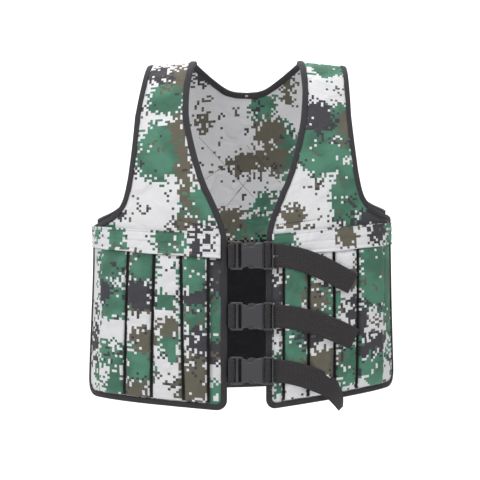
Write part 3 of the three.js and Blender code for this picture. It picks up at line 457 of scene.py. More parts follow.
def print_field(tree, cells, ovals, seed):
    """Signed distance into the nearest oval in millimetres, broken up by noise."""
    nearest = None
    for across, along, half_across, half_along, *turn in ovals:
        half_across, half_along = BLOTCH_GROW * half_across, BLOTCH_GROW * half_along
        size = min(half_across, half_along)
        local = add_node(tree, "Mapping", {
            "Vector": cells, "Location": (across, along, 0),
            "Rotation": (0, 0, math.radians(sum(turn))), "Scale": (half_across, half_along, 1000),
        }, vector_type="TEXTURE")
        radius = add_node(tree, "VectorMath", {0: local.outputs[0]}, operation="LENGTH")
        inside = add_node(tree, "Math", {0: radius.outputs["Value"], 1: -size, 2: size},
                          operation="MULTIPLY_ADD")
        if nearest is None:
            nearest = inside.outputs[0]
        else:
            nearest = add_node(tree, "Math", {0: nearest, 1: inside.outputs[0]},
                               operation="MAXIMUM").outputs[0]
    moved = add_node(tree, "VectorMath", {0: cells, 1: (seed * 713.0, seed * 291.0, seed * 57.0)},
                     operation="ADD").outputs[0]
    drift = add_node(tree, "TexNoise", {"Vector": moved, "Scale": 0.045, "Detail": 2.0})
    loose = add_node(tree, "TexWhiteNoise", {"Vector": moved})
    total = add_node(tree, "Math", {0: drift.outputs["Fac"], 1: BORDER_DRIFT, 2: nearest},
                     operation="MULTIPLY_ADD").outputs[0]
    total = add_node(tree, "Math", {0: loose.outputs["Value"], 1: BORDER_CELLS, 2: total},
                     operation="MULTIPLY_ADD").outputs[0]
    return add_node(tree, "Math", {0: total, 1: (BORDER_DRIFT + BORDER_CELLS) / 2},
                    operation="GREATER_THAN").outputs[0]


def loose_squares(tree, cells, colour):
    """Single squares of another ink, in the patches where the print breaks up."""
    for ink, offset in (("ground", 300.0), ("olive", 500.0), ("dark", 700.0)):
        moved = add_node(tree, "VectorMath", {0: cells, 1: (offset, offset, offset)},
                         operation="ADD").outputs[0]
        patch = add_node(tree, "TexNoise", {"Vector": moved, "Scale": 0.03, "Detail": 1.0})
        pick = add_node(tree, "TexWhiteNoise", {"Vector": moved})
        both = add_node(tree, "Math", {0: patch.outputs["Fac"], 1: PATCH_WEIGHT, 2: pick.outputs["Value"]},
                        operation="MULTIPLY_ADD")
        chosen = add_node(tree, "Math", {0: both.outputs[0], 1: LOOSE_LIMIT}, operation="GREATER_THAN")
        colour = add_node(tree, "Mix", {0: chosen.outputs[0], 6: colour, 7: PRINT[ink]},
                          data_type="RGBA").outputs[2]
    return colour


def weave_bump(tree, shader, address):
    """Over-and-under threads from the flat address, on cloth that is a little crumpled."""
    scaled = add_node(tree, "VectorMath", {0: address, "Scale": math.pi / THREAD_PITCH}, operation="SCALE")
    parts = add_node(tree, "SeparateXYZ", {0: scaled.outputs[0]})
    warp = add_node(tree, "Math", {0: parts.outputs["X"]}, operation="SINE")
    weft = add_node(tree, "Math", {0: parts.outputs["Y"]}, operation="SINE")
    height = add_node(tree, "Math", {0: warp.outputs[0], 1: weft.outputs[0]}, operation="MULTIPLY")
    crumple = add_node(tree, "TexNoise", {"Vector": address, "Scale": 0.028, "Detail": 4.0,
                                          "Distortion": 0.6})
    soft = add_node(tree, "Bump", {"Strength": 0.7, "Distance": CRUMPLE_HEIGHT * MM,
                                   "Height": crumple.outputs["Fac"]})
    bump = add_node(tree, "Bump", {"Strength": 0.6, "Distance": THREAD_HEIGHT * MM,
                                   "Height": height.outputs[0], "Normal": soft.outputs["Normal"]})
    tree.links.new(bump.outputs["Normal"], shader.inputs["Normal"])
    return height.outputs[0]


def camouflage(name, ovals, seed):
    """Printed plain-weave polyester: matt, with a faint nap."""
    material, tree, shader = new_material(name)
    address = add_node(tree, "Attribute", attribute_name="cloth").outputs["Vector"]
    cells = add_node(tree, "VectorMath", {0: address, 1: (PRINT_CELL, PRINT_CELL, 1000.0)},
                     operation="SNAP").outputs[0]
    colour = PRINT["ground"]
    for number, shade in enumerate(("green", "olive", "dark", "black")):
        rows = [row[1:] for row in ovals if row[0] == shade]
        # the black goes on last, over the loose squares: it is painted shade on the lower lining
        if shade == "black":
            colour = loose_squares(tree, cells, colour)
        if not rows:
            continue
        mask = print_field(tree, cells, rows, seed + number)
        ink = PRINT[shade]
        if shade == "green":
            depth = add_node(tree, "TexNoise", {"Vector": cells, "Scale": 0.022, "Detail": 1.0})
            deep = add_node(tree, "MapRange", {"Value": depth.outputs["Fac"],
                                               "From Min": 0.42, "From Max": 0.58})
            ink = add_node(tree, "Mix", {0: deep.outputs["Result"], 6: PRINT["green"], 7: DEEP_GREEN},
                           data_type="RGBA").outputs[2]
        mixed = add_node(tree, "Mix", {0: mask, 6: colour, 7: ink}, data_type="RGBA")
        colour = mixed.outputs[2]
    threads = weave_bump(tree, shader, address)
    fleck = add_node(tree, "TexNoise", {"Vector": address, "Scale": 0.4, "Detail": 4.0, "Roughness": 0.7})
    tone = add_node(tree, "Math", {0: fleck.outputs["Fac"], 1: 0.22, 2: 0.88}, operation="MULTIPLY_ADD")
    # painted highlight: the raised threads are painted a little lighter; the fleck above is the yarn's own
    # uneven tone
    tone = add_node(tree, "Math", {0: threads, 1: 0.06, 2: tone.outputs[0]}, operation="MULTIPLY_ADD")
    toned = add_node(tree, "Mix", {0: 1.0, 6: colour, 7: tone.outputs[0]},
                     data_type="RGBA", blend_type="MULTIPLY")
    tree.links.new(toned.outputs[2], shader.inputs["Base Color"])
    shader.inputs["Roughness"].default_value = 0.88
    shader.inputs["IOR"].default_value = 1.5
    shader.inputs["Specular IOR Level"].default_value = 0.25
    shader.inputs["Sheen Weight"].default_value = 0.12
    shader.inputs["Sheen Roughness"].default_value = 0.5
    return material


print("print colours:", len(PRINT), "cell in mm:", PRINT_CELL)

# %% [markdown]
# The layout of the print is one table for each part of the vest that is cut separately.
# A row is a colour, the oval's middle in the flat cut, its two half sizes and, where it is
# turned, its turn in degrees.

# %% Layout of the print
FRONT_OVALS = [
    # colour, girth, run, half girth, half run
    ("dark", -150, -45, 20, 18), ("olive", -112, -52, 16, 24), ("green", -134, -94, 30, 28),
    ("olive", -105, -151, 17, 22), ("olive", -102, -223, 11, 58, 8), ("green", -145, -189, 34, 43),
    ("green", -70, -272, 32, 28), ("olive", -98, -306, 14, 8), ("dark", -66, -314, 20, 8),
    ("dark", -204, -292, 7, 7), ("green", 134, -23, 40, 26), ("dark", 123, -136, 24, 30),
    ("green", 161, -127, 22, 20), ("green", 127, -186, 46, 44), ("olive", 168, -148, 13, 20),
    ("green", 176, -269, 36, 52), ("olive", 74, -300, 22, 15), ("dark", 232, -313, 60, 13),
    ("green", -235, -330, 22, 30), ("green", 262, -420, 22, 110), ("dark", -262, -504, 10, 30),
    ("green", -240, -390, 14, 70), ("green", -242, -560, 14, 24),
]
BACK_OVALS = [
    ("green", -140, 40, 34, 40, 10), ("green", -104, 84, 30, 34), ("olive", 132, 44, 26, 34),
    ("dark", 108, 84, 18, 20), ("green", 40, 150, 44, 30, 20), ("green", 92, 186, 40, 34),
    ("olive", -150, 170, 28, 40), ("olive", -132, 226, 26, 22), ("dark", -20, 206, 36, 18, -10),
    ("green", -64, 244, 44, 34, 30), ("green", -22, 284, 30, 24), ("olive", 204, 262, 30, 24),
    ("green", 168, 310, 40, 34, 15), ("dark", 118, 282, 20, 22), ("green", -208, 318, 40, 34, -15),
    ("green", -168, 360, 34, 30), ("olive", 36, 334, 44, 22, -20), ("olive", 74, 366, 26, 20),
    ("dark", -84, 376, 30, 20), ("green", 216, 372, 30, 36), ("dark", 208, 440, 30, 36),
    ("green", 8, 440, 50, 30, 10), ("green", 76, 470, 44, 30), ("olive", -124, 440, 38, 28, 25),
    ("dark", -232, 450, 26, 40), ("green", -176, 500, 40, 26), ("green", -90, 546, 50, 24),
    ("olive", 176, 540, 44, 26), ("dark", 40, 552, 30, 18), ("olive", -20, 500, 26, 20),
    ("green", 232, 556, 30, 24), ("dark", -214, 566, 26, 20),
]
LINING_OVALS = [
    ("green", 28, 104, 20, 26), ("olive", 40, 150, 22, 26), ("green", 70, 180, 24, 40),
    ("olive", 13, 201, 38, 18), ("olive", 52, 196, 20, 22), ("dark", -80, 45, 14, 16),
    ("olive", -80, 127, 12, 13), ("olive", 74, 66, 11, 20), ("olive", -40, 300, 30, 20),
    ("green", 20, 322, 44, 30), ("green", 40, 266, 26, 16), ("olive", -30, 344, 40, 14),
    # painted shade: black over the lower inside of the back, where the front panels shade it
    ("black", 0, 506, 260, 150),
]
POCKET_OVALS = [
    ("green", -216, -374, 32, 28), ("dark", -233, -420, 16, 16), ("green", -214, -434, 24, 27),
    ("green", -214, -523, 25, 18), ("green", -212, -576, 20, 20), ("green", -168, -376, 24, 28),
    ("dark", -168, -427, 24, 26), ("olive", -161, -495, 16, 17), ("green", -171, -536, 22, 28),
    ("olive", -176, -580, 16, 17), ("green", -131, -432, 14, 14), ("olive", -126, -470, 14, 12),
    ("green", -123, -497, 18, 22), ("green", -85, -384, 24, 28), ("dark", -82, -423, 19, 14),
    ("green", -83, -453, 22, 20), ("dark", -74, -492, 14, 20), ("olive", -84, -556, 22, 38),
    ("green", 80, -406, 24, 32), ("olive", 112, -431, 15, 24), ("green", 133, -444, 18, 24),
    ("olive", 172, -406, 18, 15), ("dark", 184, -468, 17, 27), ("green", 222, -405, 38, 54),
    ("green", 70, -512, 27, 38), ("dark", 107, -484, 22, 22), ("olive", 122, -536, 25, 21),
    ("green", 175, -545, 28, 33), ("dark", 222, -519, 27, 17), ("green", 226, -566, 30, 26),
]
PLACKET_OVALS = [
    ("dark", -50, -381, 17, 30), ("green", -51, -452, 17, 46), ("dark", -51, -507, 16, 16),
    ("green", -51, -578, 16, 22), ("dark", 50, -440, 14, 40), ("green", 50, -545, 14, 30),
]
FLAP_OVALS = [
    ("green", -256, -325, 10, 10), ("green", -212, -331, 14, 20), ("green", -126, -331, 24, 24),
    ("dark", -84, -332, 6, 18), ("dark", -64, -342, 3, 8), ("green", 58, -338, 18, 24),
    ("olive", 166, -337, 17, 18), ("dark", 226, -337, 17, 16), ("green", 262, -336, 24, 20),
]
front_cloth = camouflage("printed polyester, fronts", FRONT_OVALS + PLACKET_OVALS, 1)
back_cloth = camouflage("printed polyester, back", BACK_OVALS, 5)
lining_cloth = camouflage("printed polyester, lining, lower part in painted shade", LINING_OVALS, 9)
pocket_cloth = camouflage("printed polyester, pockets", POCKET_OVALS, 13)
flap_cloth = camouflage("printed polyester, flaps", FLAP_OVALS, 17)
print("ovals on fronts and pockets:", len(FRONT_OVALS) + len(POCKET_OVALS))

# %% [markdown]
# ## Dark materials
# Binding tape and webbing are dyed in the yarn, so they are matt and nearly black, and the
# ribs of the weave catch a little light. The buckles are moulded acetal: satin, with a
# fine texture from the mould.

# %% Tape and webbing
def woven_band(name, hex_colour, rib_mm, cross_mm, height_mm):
    """Narrow woven goods with ribs along it and finer threads across."""
    material, tree, shader = new_material(name)
    address = add_node(tree, "Attribute", attribute_name="cloth").outputs["Vector"]
    parts = add_node(tree, "SeparateXYZ", {0: address})
    along = add_node(tree, "Math", {0: parts.outputs["X"], 1: 2 * math.pi / cross_mm}, operation="MULTIPLY")
    across = add_node(tree, "Math", {0: parts.outputs["Y"], 1: 2 * math.pi / rib_mm}, operation="MULTIPLY")
    shifted = add_node(tree, "Math", {0: across.outputs[0], 1: 0.5, 2: along.outputs[0]},
                       operation="MULTIPLY_ADD")
    rib = add_node(tree, "Math", {0: across.outputs[0]}, operation="SINE")
    thread = add_node(tree, "Math", {0: shifted.outputs[0]}, operation="SINE")
    height = add_node(tree, "Math", {0: thread.outputs[0], 1: 0.5, 2: rib.outputs[0]},
                      operation="MULTIPLY_ADD")
    bump = add_node(tree, "Bump", {"Strength": 0.7, "Distance": height_mm * MM,
                                   "Height": height.outputs[0]})
    tree.links.new(bump.outputs["Normal"], shader.inputs["Normal"])
    fibre = add_node(tree, "TexNoise", {"Vector": address, "Scale": 0.8, "Detail": 4.0})
    # painted highlight: the raised ribs and threads are painted a little lighter; the fibre noise below is
    # the yarn's own tone
    light = add_node(tree, "Math", {0: height.outputs[0], 1: 0.12, 2: 0.9}, operation="MULTIPLY_ADD")
    light = add_node(tree, "Math", {0: fibre.outputs["Fac"], 1: 0.3, 2: light.outputs[0]},
                     operation="MULTIPLY_ADD")
    toned = add_node(tree, "Mix", {0: 1.0, 6: linear(hex_colour), 7: light.outputs[0]},
                     data_type="RGBA", blend_type="MULTIPLY")
    tree.links.new(toned.outputs[2], shader.inputs["Base Color"])
    shader.inputs["Roughness"].default_value = 0.85
    shader.inputs["Specular IOR Level"].default_value = 0.3
    shader.inputs["Sheen Weight"].default_value = 0.1
    return material


binding_tape = woven_band("folded woven polyester tape", "#39373B", 1.4, 1.1, 0.12)
webbing_band = woven_band("ribbed polypropylene webbing", "#383537", 3.2, 2.4, 0.6)
print("bands:", binding_tape.name, "and", webbing_band.name)

# %% Moulded acetal and thread
def moulded_plastic(name, hex_colour, roughness):
    """Acetal from a spark-eroded mould: satin with a fine grain."""
    material, tree, shader = new_material(name)
    place = add_node(tree, "TexCoord").outputs["Object"]
    grain = add_node(tree, "TexNoise", {"Vector": place, "Scale": 2600.0, "Detail": 2.0})
    bump = add_node(tree, "Bump", {"Strength": 0.25, "Distance": 0.00008, "Height": grain.outputs["Fac"]})
    cloudy = add_node(tree, "TexNoise", {"Vector": place, "Scale": 60.0, "Detail": 3.0})
    rough = add_node(tree, "MapRange", {"Value": cloudy.outputs["Fac"], "To Min": roughness - 0.06,
                                        "To Max": roughness + 0.08})
    tree.links.new(rough.outputs["Result"], shader.inputs["Roughness"])
    tree.links.new(bump.outputs["Normal"], shader.inputs["Normal"])
    shader.inputs["Base Color"].default_value = linear(hex_colour)
    shader.inputs["IOR"].default_value = 1.48
    return material


def thread_material(name, hex_colour):
    """Spun sewing thread, with its twist as fine diagonal ribs."""
    material, tree, shader = new_material(name)
    place = add_node(tree, "TexCoord").outputs["Object"]
    twist = add_node(tree, "TexWave", {"Vector": place, "Scale": 900.0}, bands_direction="DIAGONAL")
    bump = add_node(tree, "Bump", {"Strength": 0.5, "Distance": 0.0001, "Height": twist.outputs["Fac"]})
    tree.links.new(bump.outputs["Normal"], shader.inputs["Normal"])
    shader.inputs["Base Color"].default_value = linear(hex_colour)
    shader.inputs["Roughness"].default_value = 0.7
    return material


acetal = moulded_plastic("moulded black acetal", "#47474B", 0.3)
dark_thread = thread_material("charcoal polyester thread", "#3C3A3C")
grey_thread = thread_material("grey polyester thread", "#6B6C6E")
white_thread = thread_material("white polyester thread", "#E8E8EA")
print("plastic and thread ready")

# %% [markdown]
# ## The flat cut
# The outlines are the same curves as the frame's: the neckline, the armholes and the
# rounded corners of the hem, each given by its girth at a way down from the shoulder.

# %% Outlines of the panels
PANEL_THICK = 4.0
FRONT_EDGE = 33.0
SIDE_GAP = 58.0
NECK_DROP = 85.0
INNER_CORNER = 16.0
OUTER_CORNER = 30.0
SEAM_BACK = 14.0
STRAP_OUTER = NECK_HALF + STRAP_WIDTH
NECKLINE = [(0, 1.00), (0.07, 1.09), (0.14, 1.15), (0.22, 1.11), (0.28, 1.00), (0.345, 0.82),
            (0.40, 0.62), (0.45, 0.37), (0.49, 0.18), (0.53, 0.04), (0.57, 0)]
FRONT_ARMHOLE = [(0, 0), (0.07, 0.035), (0.14, 0.07), (0.22, 0.104), (0.28, 0.13), (0.345, 0.165),
                 (0.40, 0.204), (0.45, 0.27), (0.478, 0.365), (0.495, 0.48), (0.511, 0.70), (0.522, 1)]
BACK_ARMHOLE = [(0, 0), (0.13, 0.06), (0.26, 0.10), (0.36, 0.17), (0.43, 0.32), (0.475, 0.60), (0.50, 1)]
BACK_NECKLINE = [(0.17, 1), (0.30, 0.93), (0.45, 0.83), (0.62, 0.69), (0.84, 0.46), (0.95, 0.27), (1, 0)]

FRONT_UNDERARM = FRONT_HEM * FRONT_ARMHOLE[-1][0]
BACK_UNDERARM = BACK_HEM * BACK_ARMHOLE[-1][0]
FRONT_REACH = quarter(-FRONT_UNDERARM)[0][-1] - SIDE_GAP / 2
BACK_REACH = quarter(BACK_UNDERARM)[0][-1] - SIDE_GAP / 2
neck_curve, arm_curve = through(NECKLINE), through(FRONT_ARMHOLE)
back_arm_curve = through(BACK_ARMHOLE)
back_neck_curve = through([*BACK_NECKLINE, (0.95, -0.27)])[:-24]


def corner(radius, above):
    """How far a round corner draws an edge in, at a height above the hem."""
    reach = np.clip(radius - above, 0, radius)
    return radius - np.sqrt(radius ** 2 - reach ** 2)


def front_inner(down):
    share = np.interp(down / FRONT_HEM, neck_curve[:, 0], neck_curve[:, 1])
    edge = FRONT_EDGE + (NECK_HALF - FRONT_EDGE) * np.maximum(0, share)
    return edge + corner(INNER_CORNER, FRONT_HEM - down)


def front_outer(down):
    share = np.interp(down / FRONT_HEM, arm_curve[:, 0], arm_curve[:, 1])
    return STRAP_OUTER + (FRONT_REACH - STRAP_OUTER) * share - corner(OUTER_CORNER, FRONT_HEM - down)


def back_inner(down):
    return NECK_HALF * np.interp(down / NECK_DROP, back_neck_curve[:, 0], back_neck_curve[:, 1])


def back_outer(down):
    share = np.interp(down / BACK_HEM, back_arm_curve[:, 0], back_arm_curve[:, 1])
    return STRAP_OUTER + (BACK_REACH - STRAP_OUTER) * share - corner(OUTER_CORNER, BACK_HEM - down)


def downs_to(hem, start, marks, step=4.0):
    """Ways down to the hem, closer together round its corners, with some exact marks."""
    round_part = hem - OUTER_CORNER * (1 - np.sin(np.linspace(0, math.pi / 2, 13)))
    straight = np.linspace(start, hem - OUTER_CORNER, int((hem - OUTER_CORNER - start) / step))
    return np.unique(np.concatenate([straight, round_part, marks]))


front_downs = downs_to(FRONT_HEM, 0.0, [FRONT_UNDERARM])
back_downs = downs_to(BACK_HEM, SEAM_BACK, [BACK_UNDERARM, NECK_DROP])
print("rows in front and behind:", len(front_downs), len(back_downs))

# %% [markdown]
# ## Panels
# Each panel is two layers of cloth with thin wadding between them. Seams that go through
# all the layers pull a narrow groove into both faces; here the fronts get it on the outer face only.

# %% Grooves of the seams
SEAMS = [
    # from girth and run, to girth and run, half width, depth: lines sewn through a panel
    (-50, -312, -116, -297, 3.2, 2.0),
    (46, -309, 120, -305, 3.2, 2.0),
    (-46, -310, -46, -575, 1.4, 1.0),
    (46, -310, 46, -575, 1.4, 1.0),
]
BACK_SEAMS = [
    (-81, 170, 12, 276, 4, 1.2),
    (-74, 244, -8, 198, 4, 1.2),
    (1, 187, 63, 252, 4, 1.2),
]


def grooves(girth, run, seams):
    """Depth of the seams' grooves at each point."""
    total = np.zeros(np.broadcast(girth, run).shape)
    for g0, r0, g1, r1, half_width, depth in seams:
        way = np.array([g1 - g0, r1 - r0], float)
        t = np.clip(((girth - g0) * way[0] + (run - r0) * way[1]) / (way @ way), 0, 1)
        off = np.hypot(girth - g0 - t * way[0], run - r0 - t * way[1])
        total = np.maximum(total, depth * np.exp(-(off / half_width) ** 2))
    return total


PRESS_WIDTH = 7.0
PRESS_DEPTH = 0.5      # on each face


def edge_dip(share, width_mm):
    """The cloth thins where the tape presses it together at both edges."""
    from_edge = np.minimum(share, 1 - share) * width_mm
    return PRESS_DEPTH * np.exp(-(from_edge / PRESS_WIDTH) ** 2)


print("seams:", len(SEAMS) + len(BACK_SEAMS))

# %% Front panels
FRONT_COLUMNS = 60


def front_panel(sign, name):
    runs = np.concatenate([[SEAM_BACK, SEAM_BACK / 2], -front_downs])
    down = np.maximum(0, -runs)
    share = np.linspace(0, 1, FRONT_COLUMNS)
    inner, outer = front_inner(down)[:, None], front_outer(down)[:, None]
    girth = sign * (inner + (outer - inner) * share)
    run = np.broadcast_to(runs[:, None], girth.shape)
    press = edge_dip(share, outer - inner)
    dent = grooves(girth, run, SEAMS)
    top = lift(girth, run, PANEL_THICK - dent - press).reshape(-1, 3)
    bottom = lift(girth, run, press).reshape(-1, 3)
    flat = flat_grid(girth, run)
    points, faces = solid(top, bottom, quads(*girth.shape))
    cloth = np.vstack([flat, flat * (1, -1, 1)])
    made = make_piece(f"front_cloth_{name}", points, faces, front_cloth, cloth)
    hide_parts(f"front_panel_{name}")
    return made, girth, run


def flat_area(girth, run):
    """Area in the flat cut, in square metres, from the grid's cells."""
    across = np.abs(np.diff(girth, axis=1))
    mean_across = (across[:-1] + across[1:]) / 2
    tall = np.abs(np.diff(run, axis=0))[:, :-1]
    return float((mean_across * tall).sum() * MM * MM)


SIDES = {"left": 1, "right": -1}
for name, sign in SIDES.items():
    piece, girth, run = front_panel(sign, name)

# %% Back panel
BACK_COLUMNS = 70
INSIDE_SHARE = 0.6     # how much of a groove shows on the inside


def back_panel():
    share = np.linspace(0, 1, BACK_COLUMNS)
    inner, outer = back_inner(back_downs)[:, None], back_outer(back_downs)[:, None]
    half = inner + (outer - inner) * share
    run = np.broadcast_to(back_downs[:, None], half.shape)
    press = edge_dip(np.where(back_downs[:, None] > NECK_DROP, 0.5 + share / 2, share), outer - inner)
    girth = np.concatenate([half.ravel(), -half.ravel()])
    runs = np.concatenate([run.ravel()] * 2)
    pressed = np.concatenate([press.ravel()] * 2)
    faces = quads(*half.shape)
    faces = np.vstack([faces, faces[:, ::-1] + half.size])
    keys = np.round(np.stack([girth, runs], axis=1), 3)
    _, first, place = np.unique(keys, axis=0, return_index=True, return_inverse=True)
    faces = place.ravel()[faces]
    girth, runs, pressed = girth[first], runs[first], pressed[first]
    dent = grooves(girth, runs, BACK_SEAMS)
    top = lift(girth, runs, PANEL_THICK - dent - pressed)
    bottom = lift(girth, runs, pressed + INSIDE_SHARE * dent)
    flat = flat_grid(girth, runs)
    points, faces = solid(top, bottom, faces)
    made = make_piece("back_cloth", points, faces, back_cloth, np.vstack([flat, flat]))
    made.data.materials.append(lining_cloth)
    is_inside = [min(face) >= len(girth) for face in faces]
    made.data.polygons.foreach_set("material_index", np.array(is_inside, np.int32))
    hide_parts("back_panel")
    return made, 2 * flat_area(half, run)


back_piece, back_area = back_panel()
print("back panel faces:", len(back_piece.data.polygons))

# %% [markdown]
# ## Lines on the cut
# Tape, stitches and hems all follow a line drawn on the flat cut. A line is a list of
# girths and runs, and the way towards the cloth lies at a right angle to it.

# %% Lines along the edges
LINE_STEP = 2.5
TAPE_START = 0.5       # the side's tape starts this far below the armhole's


def edge_line(edge, downs, sign, way):
    """Points along one edge of a panel; way is -1 in front and 1 behind."""
    downs = np.asarray(downs, float)
    return np.stack([sign * edge(downs), way * downs], axis=1)


def inward(line, hand):
    """Unit steps from a line into the cloth on its right (1) or its left (-1)."""
    way = np.gradient(line, axis=0)
    way /= np.linalg.norm(way, axis=1, keepdims=True)
    return np.stack([hand * way[:, 1], -hand * way[:, 0]], axis=1)


def span(first, last, step=LINE_STEP):
    return np.linspace(first, last, max(2, int(abs(last - first) / step)))


def corner_span(hem):
    """Downs round a hem corner, dense where the edge turns."""
    return hem - OUTER_CORNER * (1 - np.sin(np.linspace(0.02, math.pi / 2, 16)))


def side_span(underarm, hem):
    """Downs of a side's edge, from the armhole to the hem."""
    return np.concatenate([span(underarm + TAPE_START, hem - OUTER_CORNER), corner_span(hem)])


def neck_line():
    front = edge_line(front_inner, span(FRONT_HEM - OUTER_CORNER, 0), 1, -1)
    back = edge_line(back_inner, span(SEAM_BACK, NECK_DROP), 1, 1)
    half = np.vstack([front, back])
    return np.vstack([half, half[::-1][1:] * (-1, 1)])


def armhole_line(sign):
    front = edge_line(front_outer, span(FRONT_UNDERARM, 0), sign, -1)
    back = edge_line(back_outer, span(SEAM_BACK, BACK_UNDERARM), sign, 1)
    return np.vstack([front, back])


def hem_line(sign):
    side = edge_line(front_outer, side_span(FRONT_UNDERARM, FRONT_HEM), sign, -1)
    centre = edge_line(front_inner, corner_span(FRONT_HEM)[::-1], sign, -1)
    return np.vstack([side, centre])


def back_hem_line():
    side = edge_line(back_outer, side_span(BACK_UNDERARM, BACK_HEM), 1, 1)
    return np.vstack([side, side[::-1] * (-1, 1)])


EDGES = {
    # piece: line on the cut, side on which the cloth lies
    "neck_binding": (neck_line(), 1),
    "armhole_binding_left": (armhole_line(1), -1),
    "armhole_binding_right": (armhole_line(-1), 1),
    "hem_binding_left": (hem_line(1), 1),
    "hem_binding_right": (hem_line(-1), -1),
    "hem_binding_back": (back_hem_line(), -1),
}
print("bound edges in mm:", {name: round(lengths_of(line)[-1]) for name, (line, _) in EDGES.items()})

# %% [markdown]
# ## Binding tape
# A tape is folded over each raw edge and sewn through both sides at once. Its section is
# a rounded U. It swells a little between the fold and the stitches.

# %% Folded tape
BINDING_WIDTH = 8.5
BINDING_THICK = 1.0
BINDING_GAP = 0.4
TAPE_SWELL = 0.5
STITCH_INSET = 6.6


def tape_section():
    """Inset from the edge and height, along the middle of the tape's thickness."""
    out = BINDING_GAP + BINDING_THICK / 2
    top, low = PANEL_THICK + out, -out
    round_fold = np.linspace(math.pi / 2, -math.pi / 2, 9)
    radius = (top - low) / 2
    fold = np.stack([radius * 0.6 - out - 0.6 * radius * np.cos(round_fold),
                     (top + low) / 2 + radius * np.sin(round_fold)], axis=1)
    flat = np.linspace(BINDING_WIDTH, 2.2, 4)
    puff = TAPE_SWELL * np.sin(math.pi * np.clip((BINDING_WIDTH - flat) / 7, 0, 1))
    upper = np.stack([flat, top + puff], axis=1)
    lower = np.stack([flat[::-1], low - puff[::-1]], axis=1)
    return np.vstack([upper, fold, lower])


def offset_section(section, distance):
    way = np.gradient(section, axis=0)
    way /= np.linalg.norm(way, axis=1, keepdims=True)
    return section + distance * np.stack([way[:, 1], -way[:, 0]], axis=1)


def tape(name, line, hand):
    line = resample(line, LINE_STEP)
    into = inward(line, hand)
    along = lengths_of(line)
    middle = tape_section()
    wander = 0.25 * np.sin(along / 9.0) + 0.2 * np.sin(along / 3.7 + 1.0)
    skins = []
    for side in (-1, 1):
        section = offset_section(middle, side * BINDING_THICK / 2)
        inset = section[None, :, 0] + wander[:, None] * (section[None, :, 0] > 4)
        girth = line[:, None, 0] + into[:, None, 0] * inset
        run = line[:, None, 1] + into[:, None, 1] * inset
        height = np.broadcast_to(section[None, :, 1], girth.shape)
        skins.append(lift(girth, run, height).reshape(-1, 3))
    across = lengths_of(middle)
    made = cloth_piece(name + "_tape", skins, (len(line), len(middle)), binding_tape,
                       flat_band(along, across))
    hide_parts(name)


for name, (line, hand) in EDGES.items():
    tape(name, line, hand)
print("tapes:", len(EDGES))

# %% [markdown]
# Each stitch is a short thread that dives into the cloth at both ends. On the real vest
# there are about three to the centimetre.

# %% Stitches
STITCH_PITCH = 3.4
STITCH_LENGTH = 2.7
STITCH_WIDTH = 0.75
SEAM_WIDTH = 1.2
STITCH_FACES = [(0, 1, 4, 3), (1, 2, 5, 4), (3, 4, 7, 6), (4, 5, 8, 7),
                (0, 3, 5, 2), (3, 6, 8, 5), (0, 2, 1), (6, 7, 8)]
# nine points of a stitch: share of its half length, share of its width, height in mm
STITCH_POINTS = [(along, across, rise - drop) for along, rise in ((-1, -0.25), (0, 0.3), (1, -0.25))
                 for across, drop in ((-0.5, 0.3), (0, 0), (0.5, 0.3))]


def sew(name, spots, material):
    """A row of stitches from nine points each, as girth, run and height."""
    points = lift(spots[..., 0], spots[..., 1], spots[..., 2]).reshape(-1, 3)
    faces = [tuple(9 * i + c for c in face) for i in range(len(spots)) for face in STITCH_FACES]
    return make_piece(name, points, faces, material)


def stitch_row(name, line, height, material, pitch=STITCH_PITCH, width=STITCH_WIDTH, face=1):
    """Stitches along a line on the cut, at a height over its inside; face -1 is the inside."""
    line = resample(line, pitch)
    way = np.gradient(line, axis=0)
    way /= np.linalg.norm(way, axis=1, keepdims=True)
    side = np.stack([way[:, 1], -way[:, 0]], axis=1)
    half = STITCH_LENGTH / STITCH_PITCH * pitch / 2
    spots = []
    for along, across, rise in STITCH_POINTS:
        places = line + way * half * along + side * width * across
        spots.append(np.column_stack([places, np.full(len(line), height + face * rise)]))
    sew(name, np.stack(spots, axis=1), material)


TAPE_TOP = PANEL_THICK + BINDING_GAP + BINDING_THICK
for name, (line, hand) in EDGES.items():
    line = resample(line, LINE_STEP)
    row = line + inward(line, hand) * STITCH_INSET
    stitch_row(name + "_stitches", row, TAPE_TOP + 0.15, grey_thread)
SEWN_LINES = {
    # name: line on the cut, height over the inside
    "placket_stitches_left": ([(49, -360), (49, -575)], PANEL_THICK - 0.6),
    "placket_stitches_right": ([(-49, -360), (-49, -575)], PANEL_THICK - 0.6),
    "yoke_stitches_left": ([(46, -309), (120, -305)], PANEL_THICK - 1.2),
    "yoke_stitches_right": ([(-50, -312), (-116, -297)], PANEL_THICK - 1.2),
}
for name, (line, height) in SEWN_LINES.items():
    stitch_row(name, line, height, dark_thread, width=SEAM_WIDTH)

QUILT_WIDTH = 1.7      # wider than a real thread, which would not show
QUILT_LINES = [[(girth, float(np.interp(drop, BACK[2], BACK[0]))) for girth, drop in line] for line in (
    # girth and drop below the shoulder of each end
    [(-81, 118), (12, 220)], [(-74, 189), (-32, 162), (-8, 145)], [(1, 135), (63, 197)],
    [(60, 118), (-34, 235)], [(20, 250), (70, 300)],
)]
for number, line in enumerate(QUILT_LINES, 1):
    stitch_row(f"quilting_inside_{number}", line, -0.1, dark_thread, width=QUILT_WIDTH,
               face=-1)
    stitch_row(f"quilting_outside_{number}", line, PANEL_THICK - 0.1, dark_thread)
TACK = [(-2.2, NECK_DROP + 3.6), (2.2, NECK_DROP + 3.6)]
stitch_row("neck_tack", TACK, -BINDING_GAP - BINDING_THICK - 0.5, white_thread,
           pitch=1.1, width=4.0, face=-1)
print("sewn lines:", len(EDGES) + len(SEWN_LINES) + len(QUILT_LINES))
